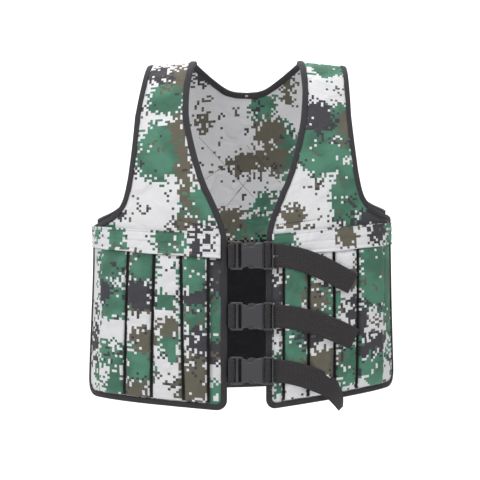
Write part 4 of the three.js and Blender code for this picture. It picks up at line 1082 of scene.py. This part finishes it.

# %% [markdown]
# ## Pockets
# The weights go into upright channels. Each is a strip of cloth sewn on at both sides with
# a pleat, so its face is flat and its edges are crisp; the gap between two is painted dark, as painted
# shade.
# The faces are settled by a cloth simulation in the flat cut: the border is sewn down,
# the cloth is a little too big for it, and a slight pressure stands for the padding.

# %% Shape of a pocket
POCKET_COUNT = 4
POCKET_THICK = 9.0
POCKET_GAP = 3.0
PLACKET = 28.0
OUTER_STRIP = 52.0
FLAP_DROP = 317.0
FLAP_HEIGHT = 37.0
FLAP_THICK = 1.6
FLAP_TUCK = 8.0
CLEAR = 0.3
POCKET_BASE = PANEL_THICK + CLEAR
POCKET_START = FRONT_EDGE + PLACKET
POCKET_PITCH = (FRONT_REACH - OUTER_STRIP - POCKET_START) / POCKET_COUNT
POCKET_TOP = FLAP_DROP + FLAP_TUCK
POCKET_LOW = FRONT_HEM - BINDING_WIDTH - 2
POCKET_ROWS = 88
POCKET_ACROSS = 25
OUTER_REACH = 11.0     # the last pocket reaches further towards the side
PLEAT_SWING = {1: (0, -1, 1, -3, -1), -1: (-0.5, -4, 5, 7, 3)}    # at the hem, away from the centre
# share of the way down, share of the pocket's thickness
POCKET_ALONG = [(0, 0.25), (0.11, 0.6), (0.24, 0.97), (0.6, 1.0), (0.9, 0.94), (1, 0.45)]


def pleat_girth(number, sign, down):
    """Where a pleat lies at a way down: pleats swing a little as the vest hangs."""
    swing = ramp(down, POCKET_TOP + FLAP_HEIGHT, POCKET_LOW) * PLEAT_SWING[sign][number]
    wider = OUTER_REACH if number == POCKET_COUNT else 0
    return POCKET_START + number * POCKET_PITCH + swing + wider


def pocket_rise(down):
    """Share of the pocket's thickness at a way down."""
    along = through(POCKET_ALONG)
    return np.interp((down - POCKET_TOP) / (POCKET_LOW - POCKET_TOP), along[:, 0], along[:, 1])


def pocket_rest(number, sign):
    """Girth, run and height of a pocket's face before it is settled."""
    share = (1 - np.cos(np.linspace(0, math.pi, POCKET_ACROSS))) / 2
    share = 0.6 * share + 0.4 * np.linspace(0, 1, POCKET_ACROSS)
    down = np.linspace(POCKET_TOP, POCKET_LOW, POCKET_ROWS)
    crown = 0.34 + 0.66 * np.sqrt(1 - np.abs(2 * share - 1) ** 7)
    near = pleat_girth(number, sign, down)[:, None] + POCKET_GAP / 2
    far = pleat_girth(number + 1, sign, down)[:, None] - POCKET_GAP / 2
    girth = near + (far - near) * share[None, :]
    height = POCKET_THICK * pocket_rise(down)[:, None] * crown[None, :]
    return girth, np.broadcast_to(-down[:, None], girth.shape), height


print("pocket width in mm:", round(POCKET_PITCH - POCKET_GAP, 1))

# %% Settle the cloth
SETTLE_FRAMES = 14
SETTLE_LIMIT = 1.8
CLOTH_SLACK = 0.022


def settle(sheets):
    """Each sheet's points after its cloth has settled, with its border held."""
    starts = np.vstack([points.reshape(-1, 3) for points in sheets])
    faces, held, first = [], [], 0
    for points in sheets:
        rows, columns = points.shape[:2]
        faces.extend(quads(rows, columns, first).tolist())
        border = np.ones((rows, columns), bool)
        border[1:-1, 1:-1] = False
        held.extend((first + np.flatnonzero(border)).tolist())
        first += rows * columns
    mesh = bpy.data.meshes.new("settling")
    mesh.from_pydata((starts * MM).tolist(), [], faces)
    cloth_object = bpy.data.objects.new("settling", mesh)
    bpy.context.scene.collection.objects.link(cloth_object)
    cloth_object.vertex_groups.new(name="held").add(held, 1.0, "REPLACE")
    modifier = cloth_object.modifiers.new("cloth", "CLOTH")
    settings = modifier.settings
    settings.vertex_group_mass = "held"
    settings.quality = 6
    settings.mass = 0.15
    settings.tension_stiffness = settings.compression_stiffness = 25
    settings.bending_stiffness = 0.4
    settings.air_damping = 4
    settings.shrink_min = -CLOTH_SLACK
    settings.use_pressure = True
    settings.uniform_pressure_force = 0.35
    settings.effector_weights.gravity = 0
    modifier.collision_settings.use_collision = False
    scene = bpy.context.scene
    start = scene.frame_current
    for frame_number in range(1, SETTLE_FRAMES + 1):
        scene.frame_set(frame_number)
    seen = cloth_object.evaluated_get(bpy.context.evaluated_depsgraph_get())
    moved = np.empty(len(starts) * 3, np.float32)
    seen.data.vertices.foreach_get("co", moved)
    scene.frame_set(start)
    bpy.data.objects.remove(cloth_object)
    shift = moved.reshape(-1, 3) / MM - starts
    shift *= np.minimum(1, SETTLE_LIMIT / np.maximum(np.linalg.norm(shift, axis=1), 1e-6))[:, None]
    settled, first = [], 0
    for points in sheets:
        count = points.shape[0] * points.shape[1]
        settled.append(points + shift[first:first + count].reshape(points.shape))
        first += count
    return settled


pocket_rests = []
for number in range(POCKET_COUNT):
    for sign in (1, -1):
        girth, run, height = pocket_rest(number, sign)
        random = np.random.default_rng(10 * number + sign + 1)
        dents = random.normal(0, 0.12, height.shape) * (height > 3)
        pocket_rests.append(np.stack([sign * girth, run, height + dents], axis=2))
pocket_faces = settle(pocket_rests)
print("pocket faces:", len(pocket_faces))

# %% Pockets
PLEAT_TURN = 0.9
PLEAT_OPEN = 0.7
GUSSET_THICK = 0.5
# painted shade: the pleat's folded side is coloured near black to stand for the shade deep in the pleat
pleat_shade_cloth = woven_band("gusset cloth, dark as painted pleat shade", "#302F31", 3.0, 2.4, 0.2)


def pocket(number, sign, face):
    name = "left" if sign > 0 else "right"
    girth, run, height = face[..., 0], face[..., 1], face[..., 2]
    middle = girth.mean(axis=1, keepdims=True)
    width = POCKET_PITCH - POCKET_GAP
    girth = middle + (girth - middle) * (1 - 2 * PLEAT_OPEN / width)
    base_girth = middle + (girth - middle) * (1 - 2 * PLEAT_TURN / width)
    top = lift(girth, run, POCKET_BASE + height).reshape(-1, 3)
    base = lift(base_girth, run, np.full(girth.shape, POCKET_BASE)).reshape(-1, 3)
    made = cloth_piece(f"pocket_cloth_{name}_{number + 1}", (top, base), girth.shape, pocket_cloth,
                       flat_grid(girth, run))
    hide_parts(f"pocket_{name}_{number + 1}")


# half of the folded side's section: distance from the pleat's middle, height
GUSSET_HALF = [(2.0, 3.9), (2.0, 1.5), (1.8, 0.5), (1.0, 0.15), (0, 0.1)]
GUSSET_BASE = POCKET_BASE + 0.4
GUSSET_ROWS = 60


def gusset(number, name, sign):
    """The folded side of two pockets, a trough at the bottom of the pleat between them, coloured dark as
    painted shade.
    """
    half = np.array(GUSSET_HALF)
    section = np.vstack([half, half[::-1][1:] * (-1, 1)])
    down = np.linspace(POCKET_TOP, POCKET_LOW, GUSSET_ROWS)
    rise = pocket_rise(down)[:, None]
    middle = pleat_girth(number, sign, down)[:, None]
    skins = []
    for side in (-1, 1):
        skin = offset_section(section, side * GUSSET_THICK / 2)
        girth = sign * (middle + skin[None, :, 0])
        run = -down[:, None] + 0 * skin[None, :, 0]
        skins.append(lift(girth, run, GUSSET_BASE + skin[None, :, 1] * rise).reshape(-1, 3))
    width = lengths_of(section)
    made = cloth_piece(f"gusset_{name}_{number}", skins, (len(down), len(section)), pleat_shade_cloth,
                       flat_band(down, width))


for index, face in enumerate(pocket_faces):
    pocket(index // 2, (1, -1)[index % 2], face)
for name, sign in SIDES.items():
    for number in range(POCKET_COUNT):
        gusset(number, name, sign)
print("pockets:", len(pocket_faces))

# %% [markdown]
# ## Flaps
# A strip of the same cloth covers the tops of the pockets. Its lower edge is free and is
# turned up into a hem, and rows of stitches run along its middle and over the hem. The
# cloth hangs in small waves, which grow towards the free edge.

# %% Flaps
FLAP_RISE = 0.62
FLAP_LOW = TAPE_TOP + CLEAR
FLAP_HIGH = POCKET_BASE + POCKET_THICK * FLAP_RISE + CLEAR
FLAP_START = BINDING_WIDTH + CLEAR
FLAP_SHIFT = {"left": (-6, -3), "right": (-5, 8)}    # up at the front edge and at the side
FLAP_COLUMNS = 150
FLAP_ROWS = 26
FLAP_STITCH_ROWS = (0.10, 0.47, 0.86)
FLAP_DENT = 1.0
HEM_ROLL = 1.3
DENT_HALF = 1.1
ROLL_SHARE, ROLL_HALF = 0.95, 2.0
FLAP_STITCH_HALF = 1.3


def flap_rise(girth, share):
    """How far the flap stands off the panel, from 0 to 1."""
    last = POCKET_START + POCKET_COUNT * POCKET_PITCH
    marks = [0, POCKET_START, POCKET_START + POCKET_PITCH / 2, last - POCKET_PITCH / 2, last,
             (last + FRONT_REACH - BINDING_WIDTH) / 2, FRONT_REACH - BINDING_WIDTH, FRONT_REACH]
    across = np.interp(girth, marks, [0, 0.55, 1, 1, 0.9, 0.3, 0.05, 0])
    return across * np.interp(share, [0, 0.4, 1], [0, 0.55, 1])


def flap(name, sign):
    start = FRONT_EDGE + FLAP_START
    girth = np.linspace(start, FRONT_REACH, FLAP_COLUMNS)[None, :] + np.zeros((FLAP_ROWS, 1))
    share = np.linspace(0, 1, FLAP_ROWS)[:, None] + np.zeros((1, FLAP_COLUMNS))
    sag = 0.5 * np.sin(girth / 11.0) * share + 0.4 * np.sin(girth / 27.0 + 2)
    shift = np.interp(girth, [start, FRONT_REACH], FLAP_SHIFT[name])
    run = -FLAP_DROP + shift - share * FLAP_HEIGHT - sag * share
    height = FLAP_LOW + (FLAP_HIGH - FLAP_LOW) * flap_rise(girth, share)
    ripple = 0.55 * np.sin(girth / 8.2 + 3 * np.sin(girth / 41.0)) * share ** 2
    ripple = ripple * ramp(girth, start, start + 25)
    dent = sum(FLAP_DENT * np.exp(-((share - line) * FLAP_HEIGHT / DENT_HALF) ** 2)
               for line in FLAP_STITCH_ROWS)
    roll = HEM_ROLL * np.exp(-((share - ROLL_SHARE) * FLAP_HEIGHT / ROLL_HALF) ** 2)
    top = lift(sign * girth, run, height + FLAP_THICK + ripple - dent + roll).reshape(-1, 3)
    low = lift(sign * girth, run, height + ripple).reshape(-1, 3)
    made = cloth_piece(f"flap_cloth_{name}", (top, low), girth.shape, flap_cloth,
                       flat_grid(sign * girth, run))
    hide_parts(f"pocket_flap_{name}")
    for number, line in enumerate(FLAP_STITCH_ROWS):
        row = int(round(line * (FLAP_ROWS - 1)))
        surface = (height + FLAP_THICK + ripple - dent)[row]
        flap_stitches(f"flap_stitches_{name}_{number + 1}", sign * girth[row], run[row], surface)


def flap_stitches(name, girth, run, surface):
    """Stitches that follow the flap's own height, a little above it."""
    line = resample(np.stack([girth, run, surface + 0.1], axis=1)[2:-2], STITCH_PITCH)
    sew(name, line[:, None] + np.array(STITCH_POINTS) * (FLAP_STITCH_HALF, STITCH_WIDTH, 1), dark_thread)


for name, sign in SIDES.items():
    flap(name, sign)
print("flaps:", len(SIDES))

# %% [markdown]
# ## Buckles
# A side-release buckle is moulded in two halves. The socket is a hollow shell with a frame
# for the sewn loop. The plug's two spring arms snap out into the shell's side openings.
# Each half is built from flat outlines that are extruded and rounded.

# %% Plates with rounded edges
BUCKLE_DROPS = (328, 427, 516)
BUCKLE_SHIFT = 7.0
BUCKLE_LENGTH = 72.0
BUCKLE_WIDTH = 46.0
BUCKLE_THICK = 11.0
FRAME_THICK = 5.0
BUCKLE_LIFT = PANEL_THICK + BINDING_GAP + BINDING_THICK + 4 * CLEAR
FRAME_BACK = (BUCKLE_THICK - FRAME_THICK) / 2
END = BUCKLE_LENGTH / 2
SLOT_HALF = 20.0


def rounded(x0, x1, y0, y1, radius, steps=5):
    """A rectangle with round corners, as a list of points."""
    points = []
    for cx, cy, first in ((x1 - radius, y0 + radius, -90), (x1 - radius, y1 - radius, 0),
                          (x0 + radius, y1 - radius, 90), (x0 + radius, y0 + radius, 180)):
        for turn in np.radians(np.linspace(first, first + 90, steps)):
            points.append((cx + radius * math.cos(turn), cy + radius * math.sin(turn)))
    return points


def plate(outlines, back, thick, edge):
    """Vertices and faces of a plate: the first outline with the others cut out of it."""
    curve = bpy.data.curves.new("plate", "CURVE")
    curve.dimensions = "2D"
    curve.fill_mode = "BOTH"
    curve.extrude = thick / 2 - edge
    curve.bevel_depth = edge
    curve.bevel_resolution = 2
    curve.offset = -edge
    for outline in outlines:
        spline = curve.splines.new("POLY")
        spline.points.add(len(outline) - 1)
        spline.use_cyclic_u = True
        for point, (x, y) in zip(spline.points, outline):
            point.co = (x, y, 0, 1)
    holder = bpy.data.objects.new("plate", curve)
    bpy.context.scene.collection.objects.link(holder)
    mesh = bpy.data.meshes.new_from_object(holder.evaluated_get(bpy.context.evaluated_depsgraph_get()))
    points = np.array([v.co for v in mesh.vertices]) + (0, 0, back + thick / 2)
    faces = [tuple(f.vertices) for f in mesh.polygons]
    bpy.data.objects.remove(holder)
    return points, faces


def merged(parts):
    """Vertices and faces of several parts as one."""
    points, faces, first = [], [], 0
    for part_points, part_faces in parts:
        points.append(part_points)
        faces.extend(tuple(first + i for i in face) for face in part_faces)
        first += len(part_points)
    return np.vstack(points), faces


# %% Socket and plug
SHELL_START, SHELL_END = -16.5, 18.0
PLUG_START = SHELL_END + CLEAR
RIB_COUNT = 8
RIB_PITCH = 2.5
LID_HALF = 13.2        # half width of the raised lid on the shell
MOUTH_HALF = 20.6      # half width of the rim where the plug goes in
# ends of the slots that the webbing goes through, along the buckle
SOCKET_SLOTS = ((-30.6, -26.0), (-21.6, -16.9))
PLUG_SLOTS = ((PLUG_START + 2, PLUG_START + 6), (PLUG_START + 10.4, END - 2.6))
# half of the shell seen from above: x along the buckle, and half its width there
SHELL_HALVES = [
    (-16.5, 20.5), (-14.5, 19.6), (-12.0, 19.0), (-9.0, 18.6), (-7.2, 17.2), (-5.0, 15.6),
    (-2.4, 14.8), (0.4, 15.0), (3.0, 16.4), (5.0, 18.4), (7.0, 19.6), (10.0, 20.2), (14.0, 21.0),
    (17.2, 21.6), (18.0, 20.8),
]


def shell_outline():
    """The shell from above: a round notch in each long edge, where the hooks show."""
    half = through(SHELL_HALVES, 4)
    return [tuple(p) for p in half] + [(x, -y) for x, y in half[::-1]]


def socket_parts():
    """The frame with its two slots and ribs, the shell, its lid and the rim of its mouth."""
    frame_outline = rounded(-END, SHELL_START + 3, -BUCKLE_WIDTH / 2, BUCKLE_WIDTH / 2, 4)
    slots = [rounded(*ends, -SLOT_HALF, SLOT_HALF, 1.2) for ends in SOCKET_SLOTS]
    parts = [
        plate([frame_outline, *slots], FRAME_BACK, FRAME_THICK, 0.9),
        plate([shell_outline()], 0.0, BUCKLE_THICK - 0.5, 1.6),
        plate([rounded(SHELL_START + 1.5, SHELL_END - 1.0, -LID_HALF, LID_HALF, 3)],
              BUCKLE_THICK - 1.6, 1.5, 0.6),
        plate([rounded(SHELL_END - 2.6, SHELL_END - 0.2, -MOUTH_HALF, MOUTH_HALF, 1)],
              BUCKLE_THICK - 1.4, 1.6, 0.5),
    ]
    for i in range(RIB_COUNT):
        y = SLOT_HALF - 1.5 - i * RIB_PITCH
        outline = rounded(-25.8, -21.8, y - 0.7, y + 0.7, 0.5, 3)
        parts.append(plate([outline], FRAME_BACK + FRAME_THICK - 0.8, 2.0, 0.6))
    return merged(parts)


def plug_parts():
    """The frame with its two slots, and the two spring arms with their hooks."""
    frame_outline = rounded(PLUG_START, END, -BUCKLE_WIDTH / 2, BUCKLE_WIDTH / 2, 3)
    slots = [rounded(*ends, -SLOT_HALF, SLOT_HALF, 1.0) for ends in PLUG_SLOTS]
    parts = [plate([frame_outline, *slots], FRAME_BACK, FRAME_THICK, 0.8)]
    for sign in (-1, 1):
        hook = [(12.0, 19.8), (6.6, 20.6), (1.0, 21.4), (-3.0, 21.2), (-6.6, 18.6), (-7.4, 17.2)]
        base = [(-7.4, 13.0), (PLUG_START + 1, 13.0), (PLUG_START + 1, 19.4)]
        arm = [(x, sign * y) for x, y in [*hook, *base]]
        parts.append(plate([arm], FRAME_BACK, FRAME_THICK, 0.7))
    return merged(parts)


def front_at(x, z):
    """Girth and run of the front point that shows at this x and z."""
    girth, run = float(x), float(z)
    for _ in range(40):
        point = sample(SURFACE, girth, run)
        girth += 0.8 * (x - point[0])
        run += 0.8 * (z - point[2])
    return girth, run


def buckle_frame(drop):
    """Origin and axes of a buckle: across, up, and out from the body."""
    girth, run = front_at(BUCKLE_SHIFT, -drop)
    foot = sample(SURFACE, girth, run)
    out = sample(OUTWARD, girth, run) * (0, 1, 1)
    out /= np.linalg.norm(out)
    across = np.array([1.0, 0.0, 0.0])
    return foot + out * BUCKLE_LIFT, np.stack([across, np.cross(out, across), out])


socket_shape, plug_shape = socket_parts(), plug_parts()
buckle_frames = [buckle_frame(drop) for drop in BUCKLE_DROPS]
for number, (origin, axes) in enumerate(buckle_frames, 1):
    for half, (points, faces) in (("socket", socket_shape), ("plug", plug_shape)):
        made = make_piece(f"moulded_{half}_{number}", origin + points @ axes, faces, acetal)
        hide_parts(f"buckle_{half}_{number}")
        made.data.set_sharp_from_angle(angle=math.radians(38))
print("buckles:", len(buckle_frames))

# %% [markdown]
# ## Webbing
# The sockets hang on short loops sewn inside the wearer's right front. On the other side
# the webbing comes out of the left front, turns over the plug's bar, goes back under
# the outer bar and ends free. Webbing is stiff, so its turns are round and smooth.

# %% Bands of webbing
WEBBING_WIDTH = 38.0
WEBBING_THICK = 1.4
WEB_STEP = 1.6
WEB_COLUMNS = 11


def smooth_line(points, rounds=2):
    """Cuts the corners of a line, so that a stiff band can follow it."""
    points = np.asarray(points, float)
    for _ in range(rounds):
        near = points[:-1] * 0.75 + points[1:] * 0.25
        far = points[:-1] * 0.25 + points[1:] * 0.75
        cut = np.stack([near, far], axis=1).reshape(-1, points.shape[1])
        points = np.vstack([points[:1], cut[1:-1], points[-1:]])
    return points


def webbing(name, stations, width, node, thick=WEBBING_THICK):
    """A band along stations of middle, half width and outward vectors, nine numbers each."""
    stations = resample(smooth_line(stations), WEB_STEP)
    middle, across, out = stations[:, :3], stations[:, 3:6], stations[:, 6:9]
    along = lengths_of(middle)
    way = np.gradient(middle, axis=0)
    out = out - way * (np.sum(out * way, axis=1) / np.sum(way * way, axis=1))[:, None]
    out /= np.linalg.norm(out, axis=1, keepdims=True)
    share = np.linspace(-1, 1, WEB_COLUMNS)
    share = np.sign(share) * np.abs(share) ** 0.7
    body = 0.5 * thick * np.sqrt(np.clip(1 - np.abs(share) ** 14, 0.04, 1))
    place = middle[:, None] + across[:, None] * share[None, :, None]
    skins = [(place + side * out[:, None] * body[None, :, None]).reshape(-1, 3) for side in (1, -1)]
    made = cloth_piece(name, skins, (len(stations), WEB_COLUMNS), webbing_band,
                       flat_band(along, share * width / 2))
    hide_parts(node)
    return made, (width * MM, along[-1] * MM)


def in_buckle(origin, axes, path):
    """Stations for webbing that lies straight across a buckle."""
    across, up, out = axes
    path = np.asarray(path, float)
    way = np.gradient(path, axis=0)
    rows = []
    for (x, height), (dx, dz) in zip(path, way):
        middle = origin + across * x + out * height
        face = out * dx - across * dz
        rows.append(np.concatenate([middle, up * WEBBING_WIDTH / 2, face / np.linalg.norm(face)]))
    return rows


HALF_WEB = WEBBING_THICK / 2
SLACK = 0.2
UNDER = FRAME_BACK - CLEAR - HALF_WEB - SLACK
OVER = FRAME_BACK + FRAME_THICK + CLEAR + HALF_WEB + SLACK
TAPE_OUT = BINDING_GAP + BINDING_THICK + CLEAR + HALF_WEB
ANCHOR_LENGTH = 18.0
print("webbing runs at heights", round(UNDER, 1), "and", round(OVER, 1))

# %% Anchor loops and adjusters
TAIL_LENGTH = 134.0
TAIL_GAP = 0.6         # the free end starts this far past the plug
# headings of a free end in degrees below level, one for each eighth, and its last turn
TAILS = [
    ([3, 10, 16, 21, 25, 28, 30, 30], 8),
    ([2, 7, 12, 16, 20, 23, 26, 28], 12),
    ([5, 10, 15, 20, 24, 38, 62, 74], 62),
]
# how far each eighth has risen from under the bar to the height over the pockets
TAIL_LIFTS = (0.34, 0.66, 0.76, 0.80, 0.84, 0.90, 0.96, 1)
TAIL_LIFT_END = POCKET_BASE + POCKET_THICK + 7


def turned(vector, axis, angle):
    """A vector turned about a unit axis."""
    return (vector * math.cos(angle) + np.cross(axis, vector) * math.sin(angle)
            + axis * (axis @ vector) * (1 - math.cos(angle)))


def inside_height(origin, axes, sign):
    """How low webbing lies that is sewn inside a front edge."""
    z = origin[2]
    lows = []
    for girth, height in ((FRONT_EDGE, -BINDING_GAP - BINDING_THICK),
                          (FRONT_EDGE + BINDING_WIDTH + ANCHOR_LENGTH, -SLACK)):
        for rise in (-WEBBING_WIDTH / 2, 0, WEBBING_WIDTH / 2):
            at = front_at(sign * girth * SPREAD[sign], z + rise)
            point = sample(SURFACE, *at) + sample(OUTWARD, *at) * height
            lows.append((point - origin) @ axes[2])
    return min(lows) - CLEAR - SLACK - HALF_WEB


def anchor(number, origin, axes):
    """A loop from inside the front, over the socket's bar and back under it."""
    edge = -FRONT_EDGE * SPREAD[-1] - BUCKLE_SHIFT
    low = inside_height(origin, axes, -1)
    near = -END - HALF_WEB - CLEAR - 0.6
    slot_x = sum(SOCKET_SLOTS[0]) / 2
    end = edge - BINDING_WIDTH - ANCHOR_LENGTH
    under = low - WEBBING_THICK - CLEAR
    path = [(end, low), (edge + TAPE_OUT - 0.6, low), (edge + TAPE_OUT + 0.7, low + 1.3), (near, low + 4),
            (near, OVER - 1.6), (near + 1.4, OVER), (slot_x - 1.4, OVER), (slot_x, OVER - 1.8),
            (slot_x, UNDER + 1.6), (slot_x - 1.4, UNDER), (near + 3, UNDER), (near + 1.9, UNDER - 1.4),
            (near + 1.9, low + 0.6), (near + 0.6, under), (end, under)]
    made, flat = webbing(f"anchor_webbing_{number}", in_buckle(origin, axes, path), WEBBING_WIDTH,
                         f"anchor_strap_{number}")


def adjuster(number, origin, axes, headings, last_turn):
    """Webbing from inside the front through both slots of the plug, and its free end."""
    edge = FRONT_EDGE * SPREAD[1] - BUCKLE_SHIFT
    low = inside_height(origin, axes, 1)
    slot_one = PLUG_START + 3.75
    slot_two = PLUG_START + 12.0
    path = [(edge + BINDING_WIDTH + ANCHOR_LENGTH, low), (edge - TAPE_OUT + 1, low),
            (slot_one + 0.6, low + 0.8), (slot_one, low + 2.5), (slot_one, OVER - 1.6),
            (slot_one + 1.4, OVER), (slot_two - 1.2, OVER), (slot_two, OVER - 1.8),
            (slot_two + 0.4, UNDER + 1.6), (END - 2.4, UNDER), (END + TAIL_GAP, UNDER)]
    stations = in_buckle(origin, axes, path)
    x, z = BUCKLE_SHIFT + END + TAIL_GAP, -BUCKLE_DROPS[number - 1]
    for i, degrees in enumerate(headings):
        heading = math.radians(degrees)
        x += TAIL_LENGTH / len(headings) * math.cos(heading)
        z -= TAIL_LENGTH / len(headings) * math.sin(heading)
        at = front_at(x, z)
        height = BUCKLE_LIFT + UNDER + (TAIL_LIFT_END - BUCKLE_LIFT - UNDER) * TAIL_LIFTS[i]
        face = sample(OUTWARD, *at)
        middle = sample(SURFACE, *at) + face * height
        way = np.array([math.cos(heading), 0, -math.sin(heading)])
        wide = np.cross(face, way)
        wide /= np.linalg.norm(wide)
        turn = -math.radians(last_turn) * ((i + 1) / len(headings)) ** 3
        stations.append(np.concatenate([middle, turned(wide, way, turn) * WEBBING_WIDTH / 2,
                                        turned(face, way, turn)]))
    made, flat = webbing(f"adjuster_webbing_{number}", stations, WEBBING_WIDTH, f"adjuster_strap_{number}")


for number, (origin, axes) in enumerate(buckle_frames, 1):
    anchor(number, origin, axes)
    adjuster(number, origin, axes, *TAILS[number - 1])
print("anchor loops and adjusters:", len(buckle_frames))

# %% [markdown]
# ## Side straps
# The sides are open from the armhole to the hem. Two short straps hold the front and the
# back together on each side. They are sewn inside both panels and bow out in the gap.

# %% Side straps
SIDE_STRAP_WIDTH = 30.0
SIDE_STRAP_DROPS = (400, 484)
SIDE_STRAP_TUCK = 18.0
SIDE_STRAP_BULGE = 4.0
# places and heights: -1 is inside the panel, 0 its edge, more a share of the way to the side
SIDE_STRAP_PLACES = ((-1, -TAPE_OUT), (0, -TAPE_OUT), (0.35, 0), (0.7, SIDE_STRAP_BULGE * 0.8))


def side_strap(name, sign, number, drop):
    """A strap from inside the front, across the open side, to inside the back."""
    rows = []
    for way, (length, _, drops), reach in ((-1, FRONT, FRONT_REACH), (1, BACK, BACK_REACH)):
        half_rows = []
        for place, height in SIDE_STRAP_PLACES:
            ends = []
            for offset in (-SIDE_STRAP_WIDTH / 2, 0, SIDE_STRAP_WIDTH / 2):
                run = way * np.interp(drop + offset, drops, length)
                whole = quarter(run)[0][-1]
                open_girth = reach + (whole - reach) * place
                girth = {-1: reach - SIDE_STRAP_TUCK, 0: reach + 1}.get(place, open_girth)
                out = sample(OUTWARD, sign * girth, run)
                ends.append(sample(SURFACE, sign * girth, run) + out * height)
            half_rows.append(np.concatenate([(ends[0] + ends[2]) / 2, (ends[0] - ends[2]) / 2, out]))
        rows.append(half_rows)
    front_rows, back_rows = rows
    between = (front_rows[-1] + back_rows[-1]) / 2
    between[0] += sign * SIDE_STRAP_BULGE * 0.35
    between[6:9] = (sign, 0, 0)
    stations = [*front_rows, between, *reversed(back_rows)]
    made, flat = webbing(f"side_webbing_{name}_{number}", stations, SIDE_STRAP_WIDTH,
                         f"side_strap_{name}_{number}")


for name, sign in SIDES.items():
    for number, drop in enumerate(SIDE_STRAP_DROPS, 1):
        side_strap(name, sign, number, drop)
print("side straps:", 2 * len(SIDE_STRAP_DROPS))
